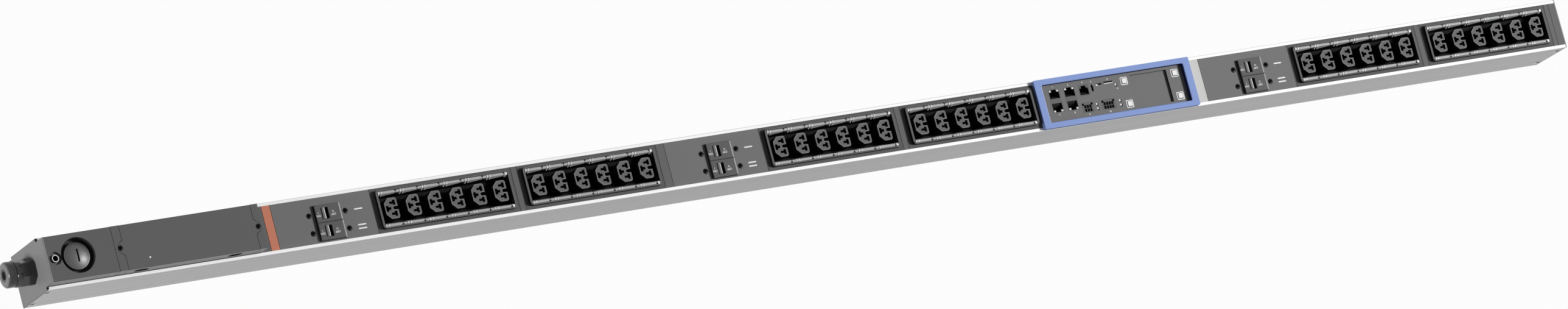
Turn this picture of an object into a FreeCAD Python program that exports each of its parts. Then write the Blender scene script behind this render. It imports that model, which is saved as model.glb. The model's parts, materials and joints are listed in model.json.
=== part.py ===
import FreeCAD
import Part
import Sketcher
import os
import re

doc = FreeCAD.newDocument("rack_pdu")
dims = doc.addObject("Spreadsheet::Sheet", "dims")

# Driving dimensions in millimetres
DRIVING = {
    # aluminium profile
    "profile_width": 60, "profile_depth": 75, "profile_wall": 2.2, "profile_round": 0.8,
    "back_lip": 2.5, "slot_neck": 8.2, "slot_width": 14, "slot_height": 5, "slot_wall": 1.8,
    # front plates and how they sit between the lips
    "plate_width": 52.2, "plate_thickness": 3, "seat_gap": 0.15, "ledge_reach": 1.3, "ledge_thickness": 2,
    "seam": 0.2, "section_gap": 0.5, "clearance": 0.3, "running_fit": 0.05,
    # lengths of the sections along the front
    "end_thickness": 2, "infeed_length": 81.2, "service_length": 181.8, "lead_length": 12.7,
    "marker_length": 10.6, "breaker_length": 124.5, "outlet_length": 180.2, "narrow_length": 7.3,
    "wide_length": 10.8, "controller_length": 213.6, "pale_length": 15.1, "last_length": 6.5,
    "closing_length": 9.2,
    # end plates
    "lug_length": 10, "lug_thickness": 6, "lug_height": 13, "low_screw": 12.6, "high_screw": 60,
    "side_screw": 4.4, "side_head": 7.6, "screw_inset": 6.3, "end_chamfer": 0.8,
    # cable gland
    "gland_level": 47.5, "gland_thread": 25, "gland_flats": 29, "gland_turned": 31, "gland_flange": 6,
    "gland_neck": 11,
    "gland_nut": 17.3, "gland_bore": 18, "gland_stub": 14, "gland_mouth": 15, "dome_diameter": 29.6,
    "dome_hex": 6.5, "dome_chamfer": 3.2, "seal_bore": 10.2, "locknut_length": 5, "neck_flats": 27,
    # raised infeed and service covers
    "cover_width": 52, "cover_height": 19.4, "cover_skin": 2.5, "cover_round": 1,
    "plug_place": 36.2, "recess_diameter": 41, "recess_depth": 11, "plug_diameter": 33,
    "plug_stem": 28, "plug_rim": 8, "plug_crown": 20, "plug_rise": 1.6, "plug_reach": 6, "coin_length": 14.4,
    "coin_width": 1.6, "coin_depth": 1.8, "tub_wall": 2,
    "bush_place": 8.7, "bush_recess": 14.8, "bush_depth": 3, "bush_diameter": 8.4, "bush_bore": 5.6,
    "bush_spigot": 7, "boss_depth": 4,
    "frame_left": 10.2, "frame_right": 8.9, "tab_root": 18, "tab_tip": 6.8, "tab_reach": 6.6,
    "tab_screw": 3.7, "screw_head": 6.6, "screw_hole": 3.4, "well_end": 5, "well_side": 10,
    "grip_length": 20, "grip_height": 8, "grip_level": 10, "grip_taper": 5, "grip_left": 9,
    "grip_right": 18, "led_diameter": 3.2,
    "led_place": 29, "led_side": 15.1,
    # breakers
    "breaker_place": 67.2, "breaker_side": 3.85, "breaker_pitch": 20.7, "breaker_size": 32,
    "breaker_raise": 4, "breaker_depth": 45, "breaker_chamfer": 0.6, "ear_span": 54, "ear_thickness": 3,
    "breaker_screws": 45.6,
    "window_length": 9.2, "window_height": 13.3, "window_shift": 4.1, "window_depth": 18,
    "handle_pivot": 7, "handle_thickness": 4.4, "handle_rise": 12.2, "handle_eye": 6,
    "pin_diameter": 3, "handle_lean": 11, "handle_round": 0.9, "rib_place": 0.75, "rib_gap": 0.7,
    "rib_depth": 0.8,
    # outlet modules
    "bezel_margin": 4.9, "bezel_rim": 2.5, "bezel_width": 45, "bezel_height": 5, "bezel_round": 4,
    "housing_depth": 20, "opening_width": 42, "trough_width": 34.8,
    "strip_ledge": 2, "pitch_spare": 0.8, "outlet_count": 6, "floor_thickness": 3,
    "core_length": 24, "core_width": 15.7, "core_face": 3.5, "core_flat": 12.6, "core_top": 10.1,
    "core_round": 2.4, "notch_width": 5.4, "notch_reach": 6.2, "notch_side": 4.2, "notch_floor": 2.4,
    "pin_depth": 16,
    "blade_length": 6, "blade_width": 3.2, "blade_side": 6.5, "blade_place": 4.3, "stub_end": 1.3,
    "stub_width": 2.7, "earth_place": 5.1, "earth_length": 6.8, "earth_end": 0.4, "earth_width": 3.2,
    "contact_depth": 16, "contact_width": 26, "contact_inset": 3.7,
    "guide_rise": 4.5, "guide_notch": 1, "guide_place": 7.5, "guide_block": 6.3, "guide_step": 0.7,
    "guide_cut": 2,
    # controller
    "controller_width": 59.4, "controller_raise": 6, "controller_round": 1.5, "frame_end": 9.6,
    "frame_side": 6.7, "frame_bevel": 0.6, "board_level": 16, "board_thickness": 1.6,
    # panel cut-outs, placed from the frame's near end except where they keep to its far end
    "jack_width": 14.8, "jack_height": 27.6, "jack_pitch": 20.8, "jack_place": 17.2, "jack_level": 3,
    "port_width": 13.2, "port_height": 8, "port_depth": 12, "latch_width": 6.4, "latch_height": 2.8,
    "deck_gap": 5.8, "sensor_place": 57.7, "sensor_level": 10.6, "sensor_size": 13.4, "sensor_port": 11.8,
    "header_level": 10.4, "header_height": 11.8, "header_depth": 8,
    "small_header": 16, "small_place": 57.2, "large_header": 18.8, "large_place": 85.4,
    "pole_pitch": 3.5, "pole_width": 1.9, "pole_length": 7.4, "pole_level": 1.2,
    "key_size": 2.6, "key_inset": 2.1,
    "usb_width": 2.8, "usb_length": 8.6, "usb_place": 69.5, "usb_level": 11.6,
    "card_width": 1.7, "card_length": 12.5, "card_place": 92.2, "card_level": 16,
    "micro_length": 8, "micro_place": 79.2, "micro_level": 15,
    "display_near": 123.2, "display_far": 21.2, "display_height": 39.4, "display_lap": 1.5,
    "display_thickness": 2,
    "button_size": 6, "button_rise": 0.9, "button_flange": 7.8, "flange_thickness": 1.2,
    "button_gap": 0.1, "button_level": 14.1, "button_near": 113.8, "button_far": 10.6,
}

# Sections along the front, from the cable end to the far end
SECTIONS = [
    ("near_end", "end_thickness"), ("infeed", "infeed_length"), ("service", "service_length"),
    ("lead", "lead_length"), ("marker", "marker_length"),
    ("breaker_1", "breaker_length"), ("outlet_1", "outlet_length"), ("filler_1", "narrow_length"),
    ("outlet_2", "outlet_length"), ("filler_2", "wide_length"),
    ("breaker_2", "breaker_length"), ("outlet_3", "outlet_length"), ("filler_3", "narrow_length"),
    ("outlet_4", "outlet_length"), ("controller", "controller_length"), ("pale", "pale_length"),
    ("breaker_3", "breaker_length"), ("outlet_5", "outlet_length"), ("filler_4", "narrow_length"),
    ("outlet_6", "outlet_length"), ("filler_5", "last_length"), ("closing", "closing_length"),
    ("far_end", "end_thickness"),
]

X = FreeCAD.Vector(1, 0, 0)
Y = FreeCAD.Vector(0, 1, 0)
Z = FreeCAD.Vector(0, 0, 1)

row = 0


def store(alias, content):
    global row
    row += 1
    cell = "A%d" % row
    dims.set(cell, content)
    dims.setAlias(cell, alias)


for alias, size in DRIVING.items():
    store(alias, str(size))

store("body_length", "=" + " + ".join(length for place, length in SECTIONS))
store("gland_length", "=gland_flange + gland_neck + gland_nut")
start = "(gland_length - body_length) / 2"
for place, length in SECTIONS:
    store("at_" + place, "=" + start)
    start = "at_%s + %s" % (place, length)
store("profile_length", "=body_length - 2 * end_thickness")
store("lip_edge", "=plate_width / 2 + seat_gap")
store("cover_top", "=profile_depth + cover_height")
store("flats_corner", "=gland_flats / sqrt(3)")
store("neck_corner", "=neck_flats / sqrt(3)")
store("bezel_length", "=outlet_length - 2 * bezel_margin")
store("opening_length", "=bezel_length - 2 * bezel_rim")
store("outlet_pitch", "=(opening_length + pitch_spare) / outlet_count")
store("contact_length", "=opening_length - 2 * contact_inset")
store("first_core", "=-outlet_pitch * (outlet_count - 1) / 2")
store("sink_angle", "=atan((screw_head - screw_hole) / (2 * plate_thickness))")
store("tab_sink_angle", "=atan((screw_head - screw_hole) / (2 * cover_skin))")
store("side_sink_angle", "=atan((side_head - side_screw) / (2 * profile_wall))")
store("opening_long", "=controller_length - 2 * frame_end")
store("opening_across", "=controller_width - 2 * frame_side")
store("panel_start", "=-opening_long / 2")
store("display_length", "=opening_long - display_near - display_far")
store("display_middle", "=panel_start + display_near + display_length / 2")
doc.recompute()


def bound(text):
    return re.sub(r"[a-z]\w*", lambda word: "dims." + word.group(0), text)


def value(alias):
    return float(dims.get(alias))


def origin(body, role):
    for item in body.Origin.OriginFeatures:
        if item.Role == role:
            return item


def new_body(label, x="0", y="0", z="0"):
    body = doc.addObject("PartDesign::Body", label)
    body.Label = label
    body.AllowCompound = True
    body.setExpression("Placement.Base.x", bound(x))
    body.setExpression("Placement.Base.y", bound(y))
    body.setExpression("Placement.Base.z", bound(z))
    return body


def sketch(body, role="XY_Plane", lift="0"):
    drawing = body.newObject("Sketcher::SketchObject", body.Name + "_sketch")
    drawing.AttachmentSupport = [(origin(body, role), "")]
    drawing.MapMode = "FlatFace"
    drawing.setExpression("AttachmentOffset.Base.z", bound(lift))
    return drawing


def pin(drawing, edge, end, x, y):
    for kind, text in (("DistanceX", x), ("DistanceY", y)):
        index = drawing.addConstraint(Sketcher.Constraint(kind, -1, 1, edge, end, 1.0))
        drawing.setExpression("Constraints[%d]" % index, bound(text))


def outline(drawing, corners):
    first = drawing.GeometryCount
    count = len(corners)
    spread = [FreeCAD.Rotation(Z, 360.0 * n / count).multVec(X) for n in range(count)]
    for n in range(count):
        drawing.addGeometry(Part.LineSegment(spread[n], spread[(n + 1) % count]))
        pin(drawing, first + n, 1, *corners[n])
    for n in range(count):
        after = first + (n + 1) % count
        drawing.addConstraint(Sketcher.Constraint("Coincident", first + n, 2, after, 1))


def block(drawing, x, y, length, height):
    left = "%s - (%s) / 2" % (x, length)
    right = "%s + (%s) / 2" % (x, length)
    low = "%s - (%s) / 2" % (y, height)
    high = "%s + (%s) / 2" % (y, height)
    outline(drawing, [(left, low), (right, low), (right, high), (left, high)])


def disc(drawing, x, y, diameter):
    edge = drawing.addGeometry(Part.Circle(FreeCAD.Vector(), Z, 1))
    pin(drawing, edge, 3, x, y)
    index = drawing.addConstraint(Sketcher.Constraint("Diameter", edge, 2.0))
    drawing.setExpression("Constraints[%d]" % index, bound(diameter))


def hexagon(drawing, y, z, corner, flats):
    side = "%s + %s / 2"
    outline(drawing, [(side % (y, corner), "%s - %s / 2" % (z, flats)),
                      ("%s + %s" % (y, corner), z),
                      (side % (y, corner), "%s + %s / 2" % (z, flats)),
                      ("%s - %s / 2" % (y, corner), "%s + %s / 2" % (z, flats)),
                      ("%s - %s" % (y, corner), z),
                      ("%s - %s / 2" % (y, corner), "%s - %s / 2" % (z, flats))])


def turn_corners(body, level, length):
    ring = sketch(body, "YZ_Plane", level)
    disc(ring, "0", "0", "gland_turned")
    disc(ring, "0", "0", "2 * gland_turned")
    cut(body, ring, length, True)


def raise_from(body, drawing, length, down=False):
    feature = body.newObject("PartDesign::Pad", body.Name + "_pad")
    feature.Profile = drawing
    feature.setExpression("Length", bound(length))
    feature.Reversed = down
    return feature


def cut(body, drawing, depth=None, upward=False, taper=None):
    feature = body.newObject("PartDesign::Pocket", body.Name + "_pocket")
    feature.Profile = drawing
    feature.Reversed = upward
    if depth is None:
        feature.Type = "ThroughAll"
    else:
        feature.setExpression("Length", bound(depth))
    if taper is not None:
        feature.setExpression("TaperAngle", bound(taper))
    return feature


def spin(body, drawing, role="X_Axis"):
    feature = body.newObject("PartDesign::Revolution", body.Name + "_turned")
    feature.Profile = drawing
    feature.ReferenceAxis = (origin(body, role), [""])
    feature.Angle = 360
    return feature


def repeat(body, features, step, count, role="X_Axis"):
    feature = body.newObject("PartDesign::LinearPattern", body.Name + "_row")
    feature.Originals = features
    feature.Direction = (origin(body, role), [""])
    feature.setExpression("Length", bound("(%s) * (%s - 1)" % (step, count)))
    feature.setExpression("Occurrences", bound(count))
    body.Tip = feature
    return feature


NEAR = 0.01


def straight(edge, axis):
    return edge.Curve.TypeId == "Part::GeomLine" and edge.Curve.Direction.cross(axis).Length < NEAR


def dress(body, kind, size, wanted):
    doc.recompute()
    base = body.Tip
    names = ["Edge%d" % (n + 1) for n, edge in enumerate(base.Shape.Edges) if wanted(edge)]
    feature = body.newObject("PartDesign::" + kind, body.Name + "_" + kind.lower())
    feature.Base = (base, names)
    feature.setExpression("Radius" if kind == "Fillet" else "Size", bound(size))
    return feature


# Aluminium profile: channel with front lips, plate ledges and a slot along the back
def build_profile():
    body = new_body("profile", "at_infeed")
    half = [
        ("slot_neck / 2", "0"), ("profile_width / 2", "0"), ("profile_width / 2", "profile_depth"),
        ("lip_edge", "profile_depth"), ("lip_edge", "profile_depth - plate_thickness"),
        ("lip_edge - ledge_reach", "profile_depth - plate_thickness"),
        ("lip_edge - ledge_reach", "profile_depth - plate_thickness - ledge_thickness"),
        ("profile_width / 2 - profile_wall", "profile_depth - plate_thickness - ledge_thickness"),
        ("profile_width / 2 - profile_wall", "profile_wall"),
        ("slot_width / 2 + slot_wall", "profile_wall"),
        ("slot_width / 2 + slot_wall", "back_lip + slot_height + slot_wall"),
    ]
    inner = [
        ("slot_neck / 2", "back_lip"), ("slot_width / 2", "back_lip"),
        ("slot_width / 2", "back_lip + slot_height"),
    ]

    def mirrored(points):
        return [("-(%s)" % y, z) for y, z in points]

    section = sketch(body, "YZ_Plane")
    outline(section, half + mirrored(half[::-1]) + mirrored(inner) + inner[::-1])
    raise_from(body, section, "profile_length")
    outer = value("profile_width") / 2 - NEAR
    dress(body, "Fillet", "profile_round",
          lambda edge: straight(edge, X) and abs(edge.CenterOfMass.y) > outer)
    for face, inward in (("profile_width / 2", False), ("-profile_width / 2", True)):
        holes = sketch(body, "XZ_Plane", face)
        for x in ("screw_inset - end_thickness", "profile_length + end_thickness - screw_inset"):
            for z in ("low_screw", "high_screw"):
                disc(holes, x, z, "side_head")
        cut(body, holes, "profile_wall", inward, "-side_sink_angle")


# End plates with lugs for the side screws; the cable end also closes the raised cover
def build_end_plate(label, place, raised):
    body = new_body(label, place)
    wide = "profile_width / 2"
    tall = "cover_width / 2"
    section = sketch(body, "YZ_Plane")
    if raised:
        outline(section, [("-" + wide, "0"), (wide, "0"), (wide, "profile_depth"), (tall, "profile_depth"),
                          (tall, "cover_top"), ("-" + tall, "cover_top"), ("-" + tall, "profile_depth"),
                          ("-" + wide, "profile_depth")])
    else:
        outline(section, [("-" + wide, "0"), (wide, "0"), (wide, "profile_depth"),
                          ("-" + wide, "profile_depth")])
    raise_from(body, section, "end_thickness", not raised)
    dress(body, "Chamfer", "end_chamfer",
          lambda edge: max(abs(edge.BoundBox.XMin), abs(edge.BoundBox.XMax)) < NEAR)
    lugs = sketch(body, "YZ_Plane", "end_thickness" if raised else "-end_thickness")
    inside = "(profile_width / 2 - profile_wall - clearance - lug_thickness / 2)"
    for side in ("", "-"):
        for z in ("low_screw", "high_screw"):
            block(lugs, side + inside, z, "lug_thickness", "lug_height")
    raise_from(body, lugs, "lug_length", not raised)
    if raised:
        entry = sketch(body, "YZ_Plane")
        disc(entry, "0", "gland_level", "gland_thread + clearance")
        cut(body, entry, "end_thickness", True)


# Cable gland: flanged body, domed nut, rubber seal and inner locknut
def build_gland():
    body = new_body("gland_body", "at_near_end", "0", "gland_level")
    flange = sketch(body, "YZ_Plane")
    hexagon(flange, "0", "0", "flats_corner", "gland_flats")
    raise_from(body, flange, "gland_flange", True)
    neck = sketch(body, "YZ_Plane", "-gland_flange")
    hexagon(neck, "0", "0", "neck_corner", "neck_flats")
    raise_from(body, neck, "gland_neck", True)
    turn_corners(body, "-gland_flange - gland_neck", "gland_flange + gland_neck")
    stub = sketch(body, "YZ_Plane")
    disc(stub, "0", "0", "gland_thread")
    raise_from(body, stub, "gland_stub")
    bore = sketch(body, "YZ_Plane", "gland_stub")
    disc(bore, "0", "0", "gland_bore")
    cut(body, bore)

    nut = new_body("gland_nut", "at_near_end - gland_flange - gland_neck", "0", "gland_level")
    hexed = sketch(nut, "YZ_Plane")
    hexagon(hexed, "0", "0", "flats_corner", "gland_flats")
    raise_from(nut, hexed, "dome_hex", True)
    turn_corners(nut, "-dome_hex", "dome_hex")
    dome = sketch(nut, "YZ_Plane", "-dome_hex")
    disc(dome, "0", "0", "dome_diameter")
    raise_from(nut, dome, "gland_nut - dome_hex", True)
    dress(nut, "Chamfer", "dome_chamfer", lambda edge: edge.BoundBox.XMax < NEAR - value("gland_nut"))
    hollow = sketch(nut, "YZ_Plane")
    disc(hollow, "0", "0", "gland_mouth")
    cut(nut, hollow)

    seal = new_body("gland_seal", "at_near_end - gland_flange - gland_neck", "0", "gland_level")
    ring = sketch(seal, "YZ_Plane", "-gland_nut + seam")
    disc(ring, "0", "0", "gland_mouth - seam")
    disc(ring, "0", "0", "seal_bore")
    raise_from(seal, ring, "gland_nut + gland_neck")

    locknut = new_body("gland_locknut", "at_infeed", "0", "gland_level")
    ring = sketch(locknut, "YZ_Plane")
    hexagon(ring, "0", "0", "flats_corner", "gland_flats")
    disc(ring, "0", "0", "gland_thread + seam")
    raise_from(locknut, ring, "locknut_length")


# Raised infeed cover with the plug recess and the earth bush recess
def build_infeed():
    body = new_body("infeed_cover", "at_infeed", "0", "profile_depth")
    shell = sketch(body)
    block(shell, "infeed_length / 2", "0", "infeed_length - section_gap", "cover_width")
    raise_from(body, shell, "cover_height")
    dress(body, "Fillet", "cover_round", lambda edge: straight(edge, X) and edge.CenterOfMass.z > NEAR)
    inside = sketch(body)
    block(inside, "infeed_length / 2", "0", "infeed_length - section_gap - 2 * cover_skin",
          "cover_width - 2 * cover_skin")
    cut(body, inside, "cover_height - cover_skin", True)
    tub = sketch(body, "XY_Plane", "cover_height - cover_skin")
    disc(tub, "plug_place", "0", "recess_diameter + 2 * tub_wall")
    raise_from(body, tub, "recess_depth", True)
    boss = sketch(body, "XY_Plane", "cover_height - cover_skin")
    block(boss, "bush_place", "0", "bush_recess", "bush_recess + 2 * tub_wall")
    raise_from(body, boss, "boss_depth", True)
    recess = sketch(body, "XY_Plane", "cover_height")
    disc(recess, "plug_place", "0", "recess_diameter")
    cut(body, recess, "recess_depth")
    entry = sketch(body, "XY_Plane", "cover_height")
    disc(entry, "plug_place", "0", "plug_stem + 2 * clearance")
    cut(body, entry, "recess_depth + cover_skin")
    seat = sketch(body, "XY_Plane", "cover_height")
    disc(seat, "bush_place", "0", "bush_recess")
    cut(body, seat, "bush_depth")
    hole = sketch(body, "XY_Plane", "cover_height")
    disc(hole, "bush_place", "0", "bush_spigot + seam")
    cut(body, hole, "cover_skin + boss_depth")

    plug = new_body("entry_plug", "at_infeed + plug_place", "0", "cover_top - recess_depth")
    half = sketch(plug, "XZ_Plane")
    outline(half, [("0", "-plug_reach"), ("plug_stem / 2", "-plug_reach"), ("plug_stem / 2", "0"),
                   ("plug_diameter / 2", "0"), ("plug_diameter / 2", "plug_rim"),
                   ("plug_crown / 2", "plug_rim + plug_rise"), ("0", "plug_rim + plug_rise")])
    spin(plug, half, "Z_Axis")
    coin = sketch(plug, "XY_Plane", "plug_rim + plug_rise")
    block(coin, "0", "0", "coin_width", "coin_length")
    cut(plug, coin, "coin_depth")

    bush = new_body("earth_bush", "at_infeed + bush_place", "0", "cover_top - bush_depth")
    half = sketch(bush, "XZ_Plane")
    outline(half, [("bush_bore / 2", "-boss_depth"), ("bush_spigot / 2", "-boss_depth"),
                   ("bush_spigot / 2", "0"), ("bush_diameter / 2", "0"),
                   ("bush_diameter / 2", "bush_depth - seam"), ("bush_bore / 2", "bush_depth - seam")])
    spin(bush, half, "Z_Axis")


# Service bay: base with two end blocks, and the screwed cover whose tabs lie in the blocks
def tab(drawing, root, tip, loose):
    reach = "tab_root / 2 + %s" % loose
    narrow = "tab_tip / 2 + %s" % loose
    outline(drawing, [(root, "-(%s)" % reach), (tip, "-(%s)" % narrow), (tip, narrow), (root, reach)])


def build_service():
    frame = new_body("service_frame", "at_service", "0", "profile_depth")
    base = sketch(frame, "XY_Plane", "-plate_thickness")
    block(base, "service_length / 2", "0", "service_length - section_gap", "plate_width")
    raise_from(frame, base, "plate_thickness")
    ends = sketch(frame)
    block(ends, "(frame_left + section_gap / 2) / 2", "0", "frame_left - section_gap / 2", "cover_width")
    block(ends, "service_length - (frame_right + section_gap / 2) / 2", "0", "frame_right - section_gap / 2",
          "cover_width")
    raise_from(frame, ends, "cover_height")
    well = sketch(frame)
    block(well, "(frame_left + service_length - frame_right) / 2", "0",
          "service_length - frame_left - frame_right - 2 * well_end", "cover_width - 2 * well_side")
    cut(frame, well)
    beds = sketch(frame, "XY_Plane", "cover_height")
    tab(beds, "frame_left + seam", "frame_left - tab_reach - seam", "seam")
    tab(beds, "service_length - frame_right - seam",
        "service_length - frame_right + tab_reach + seam", "seam")
    cut(frame, beds, "cover_skin")
    screws = sketch(frame, "XY_Plane", "cover_height")
    disc(screws, "frame_left - tab_screw", "0", "screw_hole")
    disc(screws, "service_length - frame_right + tab_screw", "0", "screw_hole")
    cut(frame, screws, "cover_height")

    cover = new_body("service_cover", "at_service", "0", "profile_depth")
    shell = sketch(cover)
    middle = "(frame_left + service_length - frame_right) / 2"
    inner = "service_length - frame_left - frame_right - 2 * section_gap"
    block(shell, middle, "0", inner, "cover_width")
    raise_from(cover, shell, "cover_height")
    dress(cover, "Fillet", "cover_round", lambda edge: straight(edge, X) and edge.CenterOfMass.z > NEAR)
    hollow = sketch(cover)
    block(hollow, middle, "0", inner + " - 2 * cover_skin", "cover_width - 2 * cover_skin")
    cut(cover, hollow, "cover_height - cover_skin", True)
    tabs = sketch(cover, "XY_Plane", "cover_height - cover_skin")
    tab(tabs, "frame_left + 2 * section_gap", "frame_left - tab_reach", "0")
    tab(tabs, "service_length - frame_right - 2 * section_gap",
        "service_length - frame_right + tab_reach", "0")
    raise_from(cover, tabs, "cover_skin")
    holes = sketch(cover, "XY_Plane", "cover_height")
    disc(holes, "frame_left - tab_screw", "0", "screw_head")
    disc(holes, "service_length - frame_right + tab_screw", "0", "screw_head")
    cut(cover, holes, "cover_skin", taper="-tab_sink_angle")
    grips = sketch(cover, "XZ_Plane", "-cover_width")
    for x in ("frame_left + grip_left + grip_length / 2",
              "service_length - frame_right - grip_right - grip_length / 2"):
        left = x + " - grip_length / 2"
        right = x + " + grip_length / 2"
        top = "grip_level + grip_height / 2"
        bottom = "grip_level - grip_height / 2"
        outline(grips, [(left, "grip_level"), (left + " + grip_taper", bottom),
                        (right + " - grip_taper", bottom), (right, "grip_level"),
                        (right + " - grip_taper", top), (left + " + grip_taper", top)])
    cut(cover, grips, "2 * cover_width", True)
    lamp = sketch(cover, "XY_Plane", "cover_height")
    disc(lamp, "frame_left + led_place", "-led_side", "led_diameter")
    cut(cover, lamp, "cover_skin")


# Plain plates between the working sections
def build_strip(label, place, length):
    body = new_body(label, "at_" + place, "0", "profile_depth - plate_thickness")
    plate = sketch(body)
    block(plate, length + " / 2", "0", length + " - section_gap", "plate_width")
    raise_from(body, plate, "plate_thickness")
    return body


def build_fillers():
    build_strip("lead_strip", "lead", "lead_length")
    build_strip("marker_strip", "marker", "marker_length")
    build_strip("pale_strip", "pale", "pale_length")
    build_strip("closing_plate", "closing", "closing_length")
    strips = []
    for place, length in SECTIONS:
        if place.startswith("filler"):
            strips.append(build_strip("piece_of_" + place, place, length))
    group = doc.addObject("Part::Compound", "filler_strips")
    group.Label = "filler_strips"
    group.Links = strips


# Breaker plate, the two breakers it carries and their swinging handles
def build_breaker_plate(number):
    body = new_body("breaker_plate_%d" % number, "at_breaker_%d" % number, "0",
                    "profile_depth - plate_thickness")
    plate = sketch(body)
    block(plate, "breaker_length / 2", "0", "breaker_length - section_gap", "plate_width")
    raise_from(body, plate, "plate_thickness")
    window = sketch(body, "XY_Plane", "plate_thickness")
    block(window, "breaker_place", "-breaker_side", "breaker_size + 2 * seam", "2 * breaker_pitch + seam")
    cut(body, window)
    holes = sketch(body, "XY_Plane", "plate_thickness")
    for x in ("breaker_place - breaker_screws / 2", "breaker_place + breaker_screws / 2"):
        for y in ("-breaker_side - breaker_pitch / 2", "-breaker_side + breaker_pitch / 2"):
            disc(holes, x, y, "screw_head")
    cut(body, holes, "plate_thickness", taper="-sink_angle")


def build_breaker(number, plate, side):
    middle = "-breaker_side %s breaker_pitch / 2" % side
    body = new_body("breaker_%d" % number, "at_breaker_%d + breaker_place" % plate, middle, "profile_depth")
    case = sketch(body, "XY_Plane", "-breaker_depth")
    block(case, "0", "0", "breaker_size", "breaker_pitch - seam")
    raise_from(body, case, "breaker_depth + breaker_raise")
    dress(body, "Chamfer", "breaker_chamfer",
          lambda edge: edge.BoundBox.ZMin > value("breaker_raise") - NEAR)
    ears = sketch(body, "XY_Plane", "-plate_thickness")
    block(ears, "0", "0", "ear_span", "breaker_pitch - seam")
    raise_from(body, ears, "ear_thickness", True)
    window = sketch(body, "XY_Plane", "breaker_raise")
    block(window, "-window_shift", "0", "window_length", "window_height")
    cut(body, window, "window_depth")
    pivot = sketch(body, "XZ_Plane", "-(window_height / 2 + seam)")
    disc(pivot, "-window_shift", "-handle_pivot", "pin_diameter")
    raise_from(body, pivot, "window_height + 2 * seam")

    handle = new_body("breaker_handle_%d" % number, "at_breaker_%d + breaker_place - window_shift" % plate,
                      middle, "profile_depth - handle_pivot")
    handle.Placement.Rotation = FreeCAD.Rotation(-Y, value("handle_lean"))
    handle.setExpression("Placement.Rotation.Angle", bound("handle_lean"))
    width = "window_height - 2 * clearance"
    paddle = sketch(handle, "XZ_Plane", "-(%s) / 2" % width)
    block(paddle, "0", "handle_rise / 2", "handle_thickness", "handle_rise")
    raise_from(handle, paddle, width)
    dress(handle, "Fillet", "handle_round", lambda edge: straight(edge, Y) and edge.CenterOfMass.z > NEAR)
    ribs = sketch(handle, "XZ_Plane", "-(%s) / 2" % width)
    for x in ("rib_place", "-rib_place"):
        block(ribs, x, "handle_rise - rib_depth / 2", "rib_gap", "rib_depth")
    cut(handle, ribs, width, True)
    eye = sketch(handle, "XZ_Plane", "-(%s) / 2" % width)
    block(eye, "0", "0", "handle_eye", "handle_eye")
    raise_from(handle, eye, width)
    hole = sketch(handle, "XZ_Plane", "-(%s) / 2" % width)
    disc(hole, "0", "0", "pin_diameter + 2 * running_fit")
    cut(handle, hole, width, True)


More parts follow.
